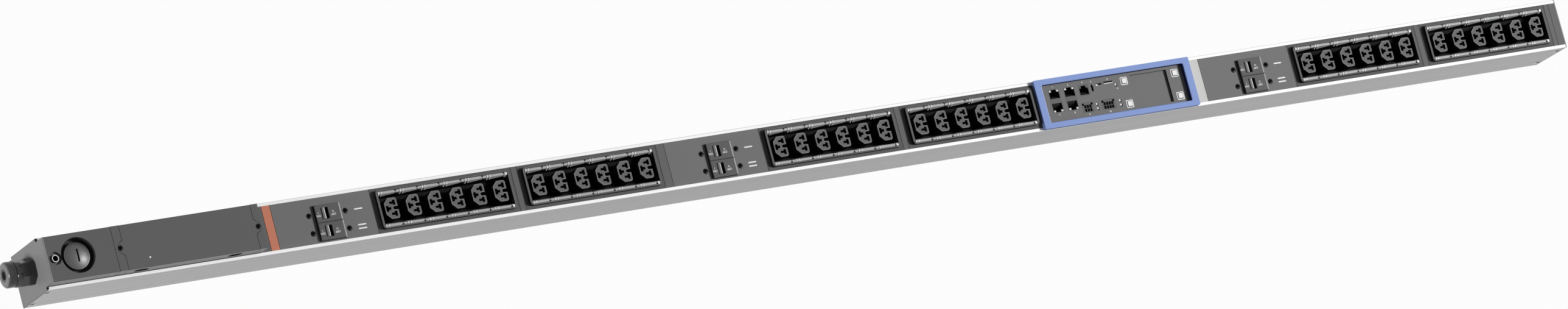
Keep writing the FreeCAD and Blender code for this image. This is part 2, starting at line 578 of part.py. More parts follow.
# Outlet module: bezel with trough walls, insert with six cores, light guides along the rims
def build_outlet(number):
    middle = "at_outlet_%d + outlet_length / 2" % number
    frame = new_body("outlet_frame_%d" % number, middle, "0", "profile_depth")
    plate = sketch(frame, "XY_Plane", "-plate_thickness")
    block(plate, "0", "0", "outlet_length - section_gap", "plate_width")
    raise_from(frame, plate, "plate_thickness")
    walls = sketch(frame, "XY_Plane", "-housing_depth")
    block(walls, "0", "0", "bezel_length", "bezel_width")
    raise_from(frame, walls, "housing_depth + bezel_height")
    dress(frame, "Fillet", "bezel_round",
          lambda edge: straight(edge, Z) and abs(edge.CenterOfMass.z - value("bezel_height") / 2) < NEAR)
    mouth = sketch(frame, "XY_Plane", "bezel_height")
    block(mouth, "0", "0", "opening_length", "opening_width")
    cut(frame, mouth, "bezel_height + strip_ledge")
    trough = sketch(frame, "XY_Plane", "bezel_height")
    block(trough, "0", "0", "opening_length", "trough_width")
    cut(frame, trough)

    insert = new_body("outlet_insert_%d" % number, middle, "0", "profile_depth")
    floor = sketch(insert, "XY_Plane", "-housing_depth")
    block(floor, "0", "0", "opening_length - seam", "trough_width - seam")
    raise_from(insert, floor, "floor_thickness")
    contacts = sketch(insert, "XY_Plane", "-housing_depth")
    block(contacts, "0", "0", "contact_length", "contact_width")
    raise_from(insert, contacts, "contact_depth", True)
    core = sketch(insert, "XY_Plane", "-housing_depth + floor_thickness")
    left = "first_core - core_width / 2"
    right = "first_core + core_width / 2"
    shoulder = right + " - core_top"
    upper = [(left, "core_flat / 2"), (shoulder, "core_length / 2"), (right, "core_length / 2"),
             (right, "notch_width / 2"), (right + " - notch_side", "notch_width / 2"),
             (right + " - notch_reach", "notch_floor / 2")]
    outline(core, upper + [(x, "-" + y) for x, y in upper[::-1]])
    post = raise_from(insert, core, "housing_depth - floor_thickness + core_face")
    pins = sketch(insert, "XY_Plane", "core_face")
    inner = "first_core - stub_end"
    near_bar = "first_core + blade_place - blade_width / 2"
    far_bar = "first_core + blade_place + blade_width / 2"
    for side in ("", "-"):
        low = side + "(blade_side - stub_width / 2)"
        high = side + "(blade_side + stub_width / 2)"
        bottom = side + "(blade_side - blade_length / 2)"
        top = side + "(blade_side + blade_length / 2)"
        outline(pins, [(inner, low), (near_bar, low), (near_bar, bottom), (far_bar, bottom),
                       (far_bar, top), (near_bar, top), (near_bar, high), (inner, high)])
    back_bar = "first_core - earth_place - blade_width / 2"
    front_bar = "first_core - earth_place + blade_width / 2"
    tip = "first_core - earth_end"
    outline(pins, [(tip, "-earth_width / 2"), (tip, "earth_width / 2"), (front_bar, "earth_width / 2"),
                   (front_bar, "earth_length / 2"), (back_bar, "earth_length / 2"),
                   (back_bar, "-earth_length / 2"), (front_bar, "-earth_length / 2"),
                   (front_bar, "-earth_width / 2")])
    slots = cut(insert, pins, "pin_depth")
    repeat(insert, [post, slots], "outlet_pitch", "outlet_count")
    rights = [value("first_core") + n * value("outlet_pitch") + value("core_width") / 2
              for n in range(int(value("outlet_count")))]
    dress(insert, "Fillet", "core_round", lambda edge: straight(edge, Z)
          and abs(abs(edge.CenterOfMass.y) - value("core_length") / 2) < NEAR
          and min(abs(edge.CenterOfMass.x - x) for x in rights) < NEAR)

    guides = new_body("outlet_guides_%d" % number, middle, "0", "profile_depth")
    bars = sketch(guides, "XY_Plane", "-strip_ledge")
    for side in ("", "-"):
        block(bars, "0", side + "(trough_width + opening_width) / 4", "opening_length - seam",
              "(opening_width - trough_width) / 2 - seam")
    raise_from(guides, bars, "strip_ledge + guide_rise")
    steps = sketch(guides, "XY_Plane", "guide_rise")
    block(steps, "first_core + guide_place + guide_block / 2", "0", "guide_block", "opening_width")
    step = cut(guides, steps, "guide_step")
    notches = sketch(guides, "XY_Plane", "guide_rise")
    block(notches, "first_core + guide_place", "0", "guide_notch", "opening_width")
    nick = cut(guides, notches, "guide_cut")
    repeat(guides, [step, nick], "outlet_pitch", "outlet_count")


# Controller: raised frame, panel with its cut-outs, display, jacks, headers, board and buttons
def port(drawing, x, y, width, outward):
    near = "%s %s deck_gap / 2" % (y, outward)
    shoulder = "%s %s port_height" % (near, outward)
    top = "%s %s latch_height" % (shoulder, outward)
    wide = "(%s) / 2" % width
    outline(drawing, [("%s - %s" % (x, wide), near), ("%s + %s" % (x, wide), near),
                      ("%s + %s" % (x, wide), shoulder), ("%s + latch_width / 2" % x, shoulder),
                      ("%s + latch_width / 2" % x, top), ("%s - latch_width / 2" % x, top),
                      ("%s - latch_width / 2" % x, shoulder), ("%s - %s" % (x, wide), shoulder)])


JACKS = ("panel_start + jack_place", "panel_start + jack_place + jack_pitch")
SENSOR = "panel_start + sensor_place"
HEADERS = (("panel_start + small_place", "small_header", 3), ("panel_start + large_place", "large_header", 4))
BUTTONS = [(x, y) for x in ("panel_start + button_near", "-panel_start - button_far")
           for y in ("button_level", "-button_level")]


def controller_body(label, x="0", y="0"):
    middle = "at_controller + controller_length / 2 + (%s)" % x
    return new_body(label, middle, y, "profile_depth")


def build_controller():
    frame = controller_body("controller_frame")
    ring = sketch(frame)
    block(ring, "0", "0", "controller_length - section_gap", "controller_width")
    block(ring, "0", "0", "opening_long", "opening_across")
    raise_from(frame, ring, "controller_raise")
    dress(frame, "Fillet", "controller_round", lambda edge: straight(edge, Z))
    dress(frame, "Chamfer", "frame_bevel", lambda edge: edge.BoundBox.ZMin > value("controller_raise") - NEAR
          and edge.BoundBox.YMax < value("opening_across") / 2 + NEAR
          and edge.BoundBox.YMin > -value("opening_across") / 2 - NEAR
          and abs(edge.CenterOfMass.x) < value("opening_long") / 2 + NEAR)

    panel = controller_body("controller_panel")
    plate = sketch(panel)
    block(plate, "0", "0", "controller_length - section_gap", "plate_width")
    raise_from(panel, plate, "plate_thickness", True)
    squares = sketch(panel)
    for x in JACKS:
        block(squares, x, "jack_level", "jack_width + seam", "jack_height + seam")
    block(squares, SENSOR, "sensor_level", "sensor_size + seam", "sensor_size + seam")
    for x, length, poles in HEADERS:
        block(squares, x, "-header_level", length + " + seam", "header_height + seam")
    block(squares, "display_middle", "0", "display_length", "display_height")
    for x, y in BUTTONS:
        block(squares, x, y, "button_size + 2 * clearance", "button_size + 2 * clearance")
    block(squares, "panel_start + usb_place", "usb_level", "usb_width", "usb_length - usb_width")
    block(squares, "panel_start + micro_place", "micro_level", "micro_length", "card_width")
    block(squares, "panel_start + card_place", "card_level", "card_length", "card_width")
    cut(panel, squares)
    ovals = sketch(panel)
    for end in ("+", "-"):
        disc(ovals, "panel_start + usb_place", "usb_level %s (usb_length - usb_width) / 2" % end, "usb_width")
    cut(panel, ovals)

    display = controller_body("controller_display", "display_middle")
    glass = sketch(display, "XY_Plane", "-plate_thickness")
    block(glass, "0", "0", "display_length + 2 * display_lap", "display_height + 2 * display_lap")
    raise_from(display, glass, "display_thickness", True)

    jacks = controller_body("network_jacks")
    cases = sketch(jacks)
    for x in JACKS:
        block(cases, x, "jack_level", "jack_width", "jack_height")
    block(cases, SENSOR, "sensor_level", "sensor_size", "sensor_size")
    raise_from(jacks, cases, "board_level", True)
    ports = sketch(jacks)
    for x in JACKS:
        port(ports, x, "jack_level", "port_width", "+")
        port(ports, x, "jack_level", "port_width", "-")
    port(ports, SENSOR, "sensor_level - (port_height + latch_height + deck_gap) / 2", "sensor_port", "+")
    cut(jacks, ports, "port_depth")

    headers = controller_body("terminal_headers")
    cases = sketch(headers, "XY_Plane", "-board_level")
    cavities = sketch(headers)
    for x, length, count in HEADERS:
        block(cases, x, "-header_level", length, "header_height")
        for side in ("+", "-"):
            block(cavities, "%s %s (%s / 2 - key_inset)" % (x, side, length),
                  "-header_level + header_height / 2 - key_inset", "key_size", "key_size")
        for n in range(count):
            block(cavities, "%s + pole_pitch * (%s - (%s - 1) / 2)" % (x, n, count),
                  "-header_level - pole_level", "pole_width", "pole_length")
    raise_from(headers, cases, "board_level")
    cut(headers, cavities, "header_depth")

    board = controller_body("controller_board")
    sheet = sketch(board, "XY_Plane", "-board_level")
    block(sheet, "0", "0", "opening_long", "opening_across")
    raise_from(board, sheet, "board_thickness", True)

    for number, (x, y) in enumerate(BUTTONS, 1):
        button = controller_body("menu_button_%d" % number, x, y)
        flange = sketch(button, "XY_Plane", "-plate_thickness - button_gap")
        block(flange, "0", "0", "button_flange", "button_flange")
        raise_from(button, flange, "flange_thickness", True)
        cap = sketch(button, "XY_Plane", "-plate_thickness - button_gap")
        block(cap, "0", "0", "button_size", "button_size")
        raise_from(button, cap, "plate_thickness + button_gap + button_rise")


build_profile()
build_end_plate("infeed_end_plate", "at_near_end", True)
build_end_plate("far_end_plate", "at_far_end + end_thickness", False)
build_gland()
build_infeed()
build_service()
build_fillers()
for plate in (1, 2, 3):
    build_breaker_plate(plate)
    build_breaker(2 * plate - 1, plate, "+")
    build_breaker(2 * plate, plate, "-")
for module in range(1, 7):
    build_outlet(module)
build_controller()

doc.recompute()

os.makedirs("parts", exist_ok=True)
for item in doc.Objects:
    if item.TypeId not in ("PartDesign::Body", "Part::Compound") or item.Label.startswith("piece_of"):
        continue
    if "Invalid" in item.State or "Error" in item.State or item.Shape.isNull() or not item.Shape.isValid():
        raise RuntimeError("bad sub-part " + item.Label)
    item.Shape.exportStep("parts/%s.step" % item.Label)
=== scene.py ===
import bpy
import json
import math
import numpy as np
from mathutils import Matrix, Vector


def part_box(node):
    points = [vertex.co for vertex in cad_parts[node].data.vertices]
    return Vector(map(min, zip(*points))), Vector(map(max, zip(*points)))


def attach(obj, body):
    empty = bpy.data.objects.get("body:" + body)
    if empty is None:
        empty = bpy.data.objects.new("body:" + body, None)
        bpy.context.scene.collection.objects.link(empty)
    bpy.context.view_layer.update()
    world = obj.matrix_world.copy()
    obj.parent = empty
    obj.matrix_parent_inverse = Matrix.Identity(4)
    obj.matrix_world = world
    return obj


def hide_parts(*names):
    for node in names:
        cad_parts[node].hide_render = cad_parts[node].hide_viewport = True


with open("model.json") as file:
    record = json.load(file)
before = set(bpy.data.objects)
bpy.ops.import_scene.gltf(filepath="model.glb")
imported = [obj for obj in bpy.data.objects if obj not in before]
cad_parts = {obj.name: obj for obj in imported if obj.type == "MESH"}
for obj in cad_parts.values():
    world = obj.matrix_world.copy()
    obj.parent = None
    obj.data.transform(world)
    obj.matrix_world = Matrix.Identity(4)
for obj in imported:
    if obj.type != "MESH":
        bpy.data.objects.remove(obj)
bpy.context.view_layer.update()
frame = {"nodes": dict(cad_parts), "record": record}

mm = 0.001
home = "housing"   # the body that fixed pieces ride on
white = (1.0, 1.0, 1.0, 1.0)
print("frame loaded:", len(frame["nodes"]), "nodes")


# linear colour of a display value from 0 to 255; one value alone is a grey
def tone(red, green=None, blue=None):
    parts = [red, red if green is None else green, red if blue is None else blue]
    shares = [part / 255 for part in parts]
    return tuple(s / 12.92 if s <= 0.04045 else ((s + 0.055) / 1.055) ** 2.4 for s in shares) + (1.0,)


def scaled(colour, factor):
    return tuple(part * factor for part in colour[:3]) + (1.0,)


# middle of a node's box, and the height of its top
def middleOf(node):
    low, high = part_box(node)
    return (np.array(low) + np.array(high)) / 2


def topOf(node):
    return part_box(node)[1][2]


class Wire:
    # one output of a material's nodes; sums and products of wires become Math nodes
    def __init__(self, tree, socket=None):
        self.tree = tree
        self.socket = socket

    def node(self, kind, settings=None, sockets=None, out=0):
        made = self.tree.nodes.new(kind)
        for key, value in (settings or {}).items():
            setattr(made, key, value)
        for key, value in (sockets or {}).items():
            if isinstance(value, Wire):
                self.tree.links.new(value.socket, made.inputs[key])
            else:
                made.inputs[key].default_value = value
        return Wire(self.tree, made.outputs[out]) if made.outputs else None

    def math(self, operation, first, second=0.0):
        return self.node("ShaderNodeMath", {"operation": operation}, {0: first, 1: second})

    def __add__(self, other):
        return self.math("ADD", self, other)

    __radd__ = __add__

    def __sub__(self, other):
        return self.math("SUBTRACT", self, other)

    def __rsub__(self, other):
        return self.math("SUBTRACT", other, self)

    def __mul__(self, other):
        return self.math("MULTIPLY", self, other)

    __rmul__ = __mul__

    def above(self, value):
        return self.math("GREATER_THAN", self, value)

    def below(self, value):
        return self.math("LESS_THAN", self, value)

    def near(self, middle, half):
        return self.node("ShaderNodeMath", {"operation": "COMPARE"}, {0: self, 1: middle, 2: half})

    def axis(self, name):
        return self.node("ShaderNodeSeparateXYZ", None, {"Vector": self}, name)

    def stretched(self, scales):
        return self.node("ShaderNodeMapping", None, {"Vector": self, "Scale": scales})

    def noise(self, scale, detail):
        return self.node("ShaderNodeTexNoise", None, {"Vector": self, "Scale": scale, "Detail": detail})

    # a Mix node's colours are its inputs 6 and 7 and its output 2
    def mix(self, low, high):
        return self.node("ShaderNodeMix", {"data_type": "RGBA"}, {"Factor": self, 6: low, 7: high}, 2)

    def tint(self, colours):
        settings = {"data_type": "RGBA", "blend_type": "MULTIPLY"}
        return self.node("ShaderNodeMix", settings, {"Factor": 1.0, 6: self, 7: colours}, 2)

    def bump(self, strength, distance):
        sockets = {"Height": self, "Strength": strength, "Distance": distance}
        return self.node("ShaderNodeBump", None, sockets)

    def surface(self, sockets):
        shader = self.node("ShaderNodeBsdfPrincipled", None, sockets)
        self.node("ShaderNodeOutputMaterial", None, {"Surface": shader})


def freshMaterial(name):
    material = bpy.data.materials.new(name)
    material.use_nodes = True
    material.node_tree.nodes.clear()
    return material, Wire(material.node_tree)


# moulded or coated surface: fine grain in the bump, slow drift in colour and gloss;
# layers are (height, colour) pairs from the lowest up, used here to paint shade on walls and hollows and a
# sheen on upper faces, with True after them where they hold only on faces turned to +X, where they paint a
# highlight; wallRough is the roughness of walls facing Y, pocket is (middle x, half x, half y, top, colour)
# of an opening whose walls get a painted shade, and nose is (start x, reach, colour) of a tip that fades to
# a painted highlight towards -X
coatLook = {"slowScale": 14.0, "slowDetail": 3.0, "fineDetail": 4.0, "slowShare": 0.6, "fineShare": 0.4,
            "smoother": 0.06, "slowGloss": 0.07, "fineGloss": 0.05, "bump": 0.6,
            "turnedFrom": 0.3, "wallFrom": 0.5}


def coated(name, colour, rough=0.6, shine=0.25, drift=0.06, grain=1500, relief=0.04 * mm, layers=(),
           wallRough=None, pocket=None, nose=None):
    look = coatLook
    material, wire = freshMaterial(name)
    place = wire.node("ShaderNodeTexCoord", out="Object")
    facing = wire.node("ShaderNodeTexCoord", out="Normal")
    slow = place.noise(look["slowScale"], look["slowDetail"])
    fine = place.noise(grain, look["fineDetail"])
    spread = slow * look["slowShare"] + fine * look["fineShare"]
    paint = colour
    for level, upper, *onlyRight in layers:
        mask = place.axis("Z").above(level)
        if onlyRight:
            mask = mask * facing.axis("X").above(look["turnedFrom"])
        paint = mask.mix(paint, upper)
    if pocket:
        middle, halfX, halfY, top, inner = pocket
        inside = place.axis("X").near(middle, halfX) * place.axis("Y").near(0.0, halfY)
        inside = inside * place.axis("Z").below(top)
        paint = inside.mix(paint, inner)
    if nose:
        start, reach, noseHighlight = nose
        fade = wire.math("MAXIMUM", (start - place.axis("X")) * (1 / reach), 0.0)
        paint = wire.math("MINIMUM", fade, 1.0).mix(paint, noseHighlight)
    if isinstance(paint, Wire):
        colours = paint.tint(spread.mix(scaled(white, 1 - drift), scaled(white, 1 + drift)))
    else:
        colours = spread.mix(scaled(colour, 1 - drift), scaled(colour, 1 + drift))
    gloss = rough - look["smoother"] + slow * look["slowGloss"] + fine * look["fineGloss"]
    if wallRough:
        across = facing.axis("Y")
        gloss = gloss - (across * across).above(look["wallFrom"]) * (rough - wallRough)
    wire.surface({"Base Color": colours, "Roughness": gloss, "Specular IOR Level": shine,
                  "Normal": fine.bump(look["bump"], relief)})
    return material


# drawn aluminium: streaks along the profile's length, in colour, gloss and bump
drawnLook = {"streak": (1.5, 900.0, 900.0), "streakDetail": 5.0, "streakShare": 0.4,
             "broad": (0.5, 140.0, 140.0), "broadDetail": 2.0, "broadShare": 0.6,
             "darkest": 0.8, "lightest": 1.16, "bump": 0.35, "relief": 0.03 * mm,
             "rough": 0.42, "roughStreak": 0.1, "metallic": 0.12, "shine": 0.12}


def drawnAluminium(name, colour):
    look = drawnLook
    material, wire = freshMaterial(name)
    place = wire.node("ShaderNodeTexCoord", out="Object")
    streak = place.stretched(look["streak"]).noise(1.0, look["streakDetail"])
    broad = place.stretched(look["broad"]).noise(1.0, look["broadDetail"])
    spread = streak * look["streakShare"] + broad * look["broadShare"]
    colours = spread.mix(scaled(colour, look["darkest"]), scaled(colour, look["lightest"]))
    wire.surface({"Base Color": colours, "Roughness": look["rough"] + streak * look["roughStreak"],
                  "Metallic": look["metallic"], "Specular IOR Level": look["shine"],
                  "Normal": streak.bump(look["bump"], look["relief"])})
    return material


# frosted light guide: clear body with faint drawn lines
clearLook = {"line": (20.0, 700.0, 700.0), "detail": 3.0, "darkest": 0.9, "lightest": 1.08, "rough": 0.4,
             "roughLine": 0.2, "through": 0.15, "ior": 1.49, "bump": 0.3, "relief": 0.05 * mm}


def clearGuide(name, colour):
    look = clearLook
    material, wire = freshMaterial(name)
    place = wire.node("ShaderNodeTexCoord", out="Object")
    line = place.stretched(look["line"]).noise(1.0, look["detail"])
    colours = line.mix(scaled(colour, look["darkest"]), scaled(colour, look["lightest"]))
    wire.surface({"Base Color": colours, "Roughness": look["rough"] + line * look["roughLine"],
                  "Transmission Weight": look["through"], "IOR": look["ior"],
                  "Normal": line.bump(look["bump"], look["relief"])})
    return material


# where painted shade, painted sheen and painted highlights change a moulding's colour, measured from the
# ends of its node
levelLook = {"underFace": 0.1 * mm, "overPlate": 0.2 * mm, "underCore": 0.2 * mm, "underBush": 0.3 * mm,
             "chamfer": 0.65 * mm, "noseHighlightStart": 1.8 * mm, "noseHighlightReach": 1.6 * mm,
             "openingHalfX": 97.3 * mm, "openingHalfY": 23.1 * mm}
black = tone(9)
profileTop = topOf("profile")
panelLevel = profileTop - levelLook["underFace"]
wallLevel = profileTop + levelLook["overPlate"]
bezelLevel = topOf("outlet_frame_1") - levelLook["underFace"]
insertSheenLevel = topOf("outlet_insert_1") - levelLook["underCore"]
bushLevel = topOf("earth_bush") - levelLook["underBush"]
breakerLevel = topOf("breaker_1") - levelLook["chamfer"]
frameLevel = topOf("controller_frame") - levelLook["chamfer"]
# outlet bezels: grey on the ledge and rim tops is a painted sheen on black plastic; walls and trough stay
# black
bezelSheenLayers = [(panelLevel, tone(92)), (wallLevel, black), (bezelLevel, tone(100))]
# breaker cases: walls below the chamfer painted black as shade, tops grey, and faces turned to +X painted
# light as a highlight
breakerShadeAndHighlight = [(breakerLevel, tone(88)), (breakerLevel, tone(205), True)]
# blue frame: bevels turned to +X painted light as a highlight; walls of its opening painted dark navy as
# shade
frameEdgeHighlight = [(frameLevel, tone(214, 222, 244), True)]
frameOpeningShade = (middleOf("controller_frame")[0], levelLook["openingHalfX"], levelLook["openingHalfY"],
                frameLevel, tone(14, 20, 60))
# gland nut: its front fades to a lighter grey towards -X, a painted highlight
glandNoseHighlight = (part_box("gland_nut")[0][0] + levelLook["noseHighlightStart"], levelLook["noseHighlightReach"], tone(108))

finishes = {
    "profile_aluminium": drawnAluminium("drawnAluminium", tone(238, 238, 239)),
    # end plates: lighter grey than the cover, painted light on these faces turned to -X
    "end_plate_grey": coated("endPlateCoatLit", tone(128, 128, 129), 0.5),
    "gland_plastic": coated("glandMouldingLitNose", tone(46, 46, 47), 0.22, 0.5, grain=900, nose=glandNoseHighlight),
    "gland_rubber": coated("glandRubber", tone(90), 0.5, 0.15),
    "cover_grey": coated("coverMoulding", tone(83, 83, 84), 0.55, wallRough=0.3),
    "plug_black": coated("plugMoulding", tone(42, 42, 43), 0.46, 1.0),
    # earth bush: bright steel above its top level, its bore below painted black as shade
    "bush_steel": coated("turnedSteelShadedBore", black, 0.35, grain=3000, layers=[(bushLevel, tone(214, 213, 211))]),
    "strip_grey": coated("stripCoat", tone(92, 92, 93)),
    "marker_orange": coated("markerStrip", tone(198, 122, 96)),
    "pale_grey": coated("paleStrip", tone(202, 202, 198)),
    "plate_grey": coated("plateCoat", tone(107, 107, 108)),
    "breaker_grey": coated("breakerCaseShadedLit", black, 0.5, 0.15, layers=breakerShadeAndHighlight),
    # rocker: faces turned to +X painted light, a painted highlight
    "handle_grey": coated("handleMouldingLitSide", tone(134, 134, 135), 0.42, layers=[(0.0, tone(206), True)]),
    "outlet_black": coated("outletMouldingSheen", black, shine=0.08, layers=bezelSheenLayers),
    # cores: black plastic with tops painted grey as a sheen
    "insert_grey": coated("insertMouldingSheen", black, shine=0.08, layers=[(insertSheenLevel, tone(106))]),
    "guide_clear": clearGuide("clearGuide", tone(174, 175, 175)),
    "frame_blue": coated("blueFrameLitAndShaded", tone(135, 157, 212), 0.55, 0.12, layers=frameEdgeHighlight,
                         pocket=frameOpeningShade),
    # panel: grey on top, walls of its cut-outs painted black as shade
    "panel_grey": coated("panelCoatShadedCuts", black, layers=[(panelLevel, tone(106, 106, 107))]),
    "display_grey": coated("displayFilm", tone(106, 106, 107), 0.6, grain=5000),
    "jack_black": coated("jackMoulding", black, shine=0.1, layers=[(panelLevel, tone(104))]),
    "button_white": coated("keyCap", tone(236), 0.45),
    "board_green": coated("boardMask", tone(40, 78, 52), 0.45),
}
inkWhite = coated("whitePrint", tone(245), drift=0.02)
inkPale = coated("palePrint", tone(224), drift=0.02)
screwBlack = coated("blackScrew", tone(6), 0.34, 0.07, grain=2500)
lampClear = coated("lampLens", tone(228, 228, 226), 0.25, 0.5, grain=4000)
rimGrey = coated("coreRim", tone(122), 0.5, 0.15)
# black for small dark parts, and for pieces that stand in for shade: pocket cups, seams, lamp seats, bore
# ring, slot backing
blackPartsAndShade = coated("blackPartsAndShade", tone(10), 0.7, 0.08)
# guide ribs lighter than the guide, a painted highlight
ribHighlight = coated("ribHighlight", tone(228), 0.25, 0.5, drift=0.16, grain=1200)
# dark grey cup in the plug's recess, painted shade
recessShadeCoat = coated("recessShadeCoat", tone(58), 0.6, 0.1)
# pale strip on the breaker cases' +X edge, a painted highlight
edgeHighlight = coated("paintedEdgeHighlight", tone(164), 0.5, 0.15)
# black for the guide clips, and for pads under the guides' steps as painted shade
clipsAndShadePads = coated("clipMouldingAndShade", tone(16), 0.4, 0.15)
contactDull = coated("contactDull", tone(62, 61, 58), 0.45, grain=3000)

slotOf = {entry["node"]: entry["material_slot"] for entry in frame["record"]["subparts"]}
for node, thing in frame["nodes"].items():
    for holder in thing.material_slots:
        holder.material = finishes[slotOf[node]]
print("finishes set:", len(finishes))


# mesh of a grid of points, rows by columns; a closed direction joins its last line to its first
def gridMesh(points, closeRows=False, closeColumns=False, capRows=False):
    rows, columns = points.shape[:2]
    index = np.arange(rows * columns).reshape(rows, columns)
    if closeRows:
        index = np.vstack([index, index[:1]])
    if closeColumns:
        index = np.hstack([index, index[:, :1]])
    quads = np.stack([index[:-1, :-1], index[:-1, 1:], index[1:, 1:], index[1:, :-1]], -1)
    faces = quads.reshape(-1, 4).tolist()
    if capRows:
        first = np.arange(columns)
        faces += [first[::-1].tolist(), (first + (rows - 1) * columns).tolist()]
    return points.reshape(-1, 3), faces


# one shape at several spots: its points plus each spot, its faces counted on
def placed(shape, *spots):
    points, faces = shape
    every = np.vstack([points + np.array(spot) for spot in spots])
    starts = [len(points) * turn for turn in range(len(spots))]
    return every, [[corner + start for corner in face] for start in starts for face in faces]


# several shapes as one, their faces counted on
def joined(*shapes):
    points = np.vstack([shape[0] for shape in shapes])
    starts = np.cumsum([0] + [len(shape[0]) for shape in shapes])
    pairs = zip(shapes, starts)
    return points, [[corner + start for corner in face] for shape, start in pairs for face in shape[1]]


sharpAngle = math.radians(35)


# a piece from a shape: edges over that angle stay sharp, and it rides on a body
def addPiece(name, shape, material, body=home, smooth=True):
    points, faces = shape
    mesh = bpy.data.meshes.new(name)
    mesh.from_pydata(points.tolist(), [], faces)
    mesh.validate()
    mesh.polygons.foreach_set("use_smooth", [smooth] * len(mesh.polygons))
    if smooth:
        mesh.set_sharp_from_angle(angle=sharpAngle)
    mesh.materials.append(material)
    piece = bpy.data.objects.new(name, mesh)
    bpy.context.scene.collection.objects.link(piece)
    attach(piece, body)
    return piece


def angles(count):
    return np.linspace(0, 2 * np.pi, count, endpoint=False)


# a wave squared up: its sign times its size to the power 2 / n, as a superellipse has it
def squared(wave, square):
    return np.sign(wave) * np.abs(wave) ** (2 / square)


# radius of a hexagon by angle: half its width over the cosine of the angle folded into 60 degrees
def hexagon(half, angle):
    return half / np.cos(np.mod(angle, np.pi / 3) - np.pi / 6)


# turned points: radius and height of a profile, carried round the Z axis
def turned(radii, heights, count):
    angle = angles(count)
    radius = np.asarray(radii, float)[:, None] * np.ones(count)
    height = np.asarray(heights, float)[:, None] * np.ones(count)
    return np.stack([radius * np.cos(angle), radius * np.sin(angle), height], -1)


# lamp dome: radius = across / 2 * cos(t), height = rise * sin(t), t from 0 to a right angle less the gap
def lampDome(across, rise, rings, count, gap=0.06):
    sweep = np.linspace(0, np.pi / 2 - gap, rings)
    points = turned(across / 2 * np.cos(sweep), rise * np.sin(sweep), count)
    return gridMesh(points, closeColumns=True, capRows=True)


# rounded pad: superellipsoid |x/a|^n + |y/b|^n + |z/c|^n = 1, cut to its upper half and set on z = 0
def pad(length, width, height, square=6, count=32, rings=5, gap=0.02):
    angle = angles(count)
    rise = np.linspace(0, np.pi / 2 - gap, rings)[:, None]
    level = squared(np.cos(rise), square)
    points = np.stack([length / 2 * level * squared(np.cos(angle), square),
                       width / 2 * level * squared(np.sin(angle), square),
                       height * squared(np.sin(rise), square) * np.ones(count)], -1)
    return gridMesh(points, closeColumns=True, capRows=True)


# flat band, for print and for rings of painted shade: a flat line carried round |2x / length|^n + |2y /
# width|^n = 1
def band(length, width, breadth, height, square=8, count=48):
    angle = angles(count)
    unit = squared(np.stack([np.cos(angle), np.sin(angle)], -1), square)
    outer = np.array([length / 2, width / 2])
    reach = np.stack([outer, outer, outer - breadth, outer - breadth])[:, None]
    level = np.array([0, height, height, 0])[:, None] * np.ones(count)
    points = np.concatenate([reach * unit, level[..., None]], -1)
    return gridMesh(points, closeRows=True, closeColumns=True)


# raised rim: a low band carried round a closed outline, its lines offset inward along the mitred corners
def rim(outline, wrap, breadth, height, deep, bevel):
    along = np.roll(outline, -1, 0) - outline
    along = along / np.linalg.norm(along, axis=1)[:, None]
    inward = np.stack([-along[:, 1], along[:, 0]], -1)
    before = np.roll(inward, 1, 0)
    mitre = (inward + before) / (1 + np.sum(inward * before, 1))[:, None]
    offset = np.array([0, wrap, wrap + bevel, breadth - bevel, breadth, breadth])[:, None, None]
    level = np.array([-deep, -deep, height, height, 0, -deep])[:, None] * np.ones(len(outline))
    points = np.concatenate([outline + offset * mitre, level[..., None]], -1)
    return gridMesh(points, closeRows=True, closeColumns=True)


# screw head: circles of these shares of the radius, dropped by these shares of the crown, make a low dome
# round a six-sided socket
headLook = {"count": 48, "shares": (1.0, 1.0, 0.97, 0.88, 0.7), "drops": (1.0, 0.8, 0.5, 0.2),
            "shank": 2.0, "mouth": 1.06, "mouthDrop": 0.05 * mm}


def screwHead(across, socket, deep, crown):
    look = headLook
    angle = angles(look["count"])
    six = hexagon(socket / 2, angle)
    circle = across / 2 * np.ones(look["count"])
    radius = np.array([circle * share for share in look["shares"]] + [six * look["mouth"], six, six])
    fall = [-crown * drop for drop in look["drops"]]
    level = np.array([-look["shank"] * crown - deep] + fall + [0, -look["mouthDrop"], -deep])[:, None]
    points = np.stack([radius * np.cos(angle), radius * np.sin(angle), level * np.ones(len(angle))], -1)
    return gridMesh(points, closeColumns=True, capRows=True)


letterLook = {"weight": 0.02, "steps": 3, "thick": 0.03 * mm}


# words and numbers as thin flat meshes, turned about Z
def lettering(text, size, spot, turn=0.0):
    curve = bpy.data.curves.new("letters", "FONT")
    curve.body = text
    curve.size = size
    curve.align_x = "CENTER"
    curve.align_y = "CENTER"
    curve.extrude = letterLook["thick"]
    curve.offset = size * letterLook["weight"]
    curve.resolution_u = letterLook["steps"]
    holder = bpy.data.objects.new("letters", curve)
    bpy.context.scene.collection.objects.link(holder)
    solid = holder.evaluated_get(bpy.context.evaluated_depsgraph_get())
    mesh = bpy.data.meshes.new_from_object(solid)
    bpy.data.objects.remove(holder)
    points = np.zeros(len(mesh.vertices) * 3)
    mesh.vertices.foreach_get("co", points)
    faces = [list(face.vertices) for face in mesh.polygons]
    cos, sin = math.cos(turn), math.sin(turn)
    rotation = np.array([[cos, sin, 0], [-sin, cos, 0], [0, 0, 1]])
    return points.reshape(-1, 3) @ rotation + np.array(spot), faces


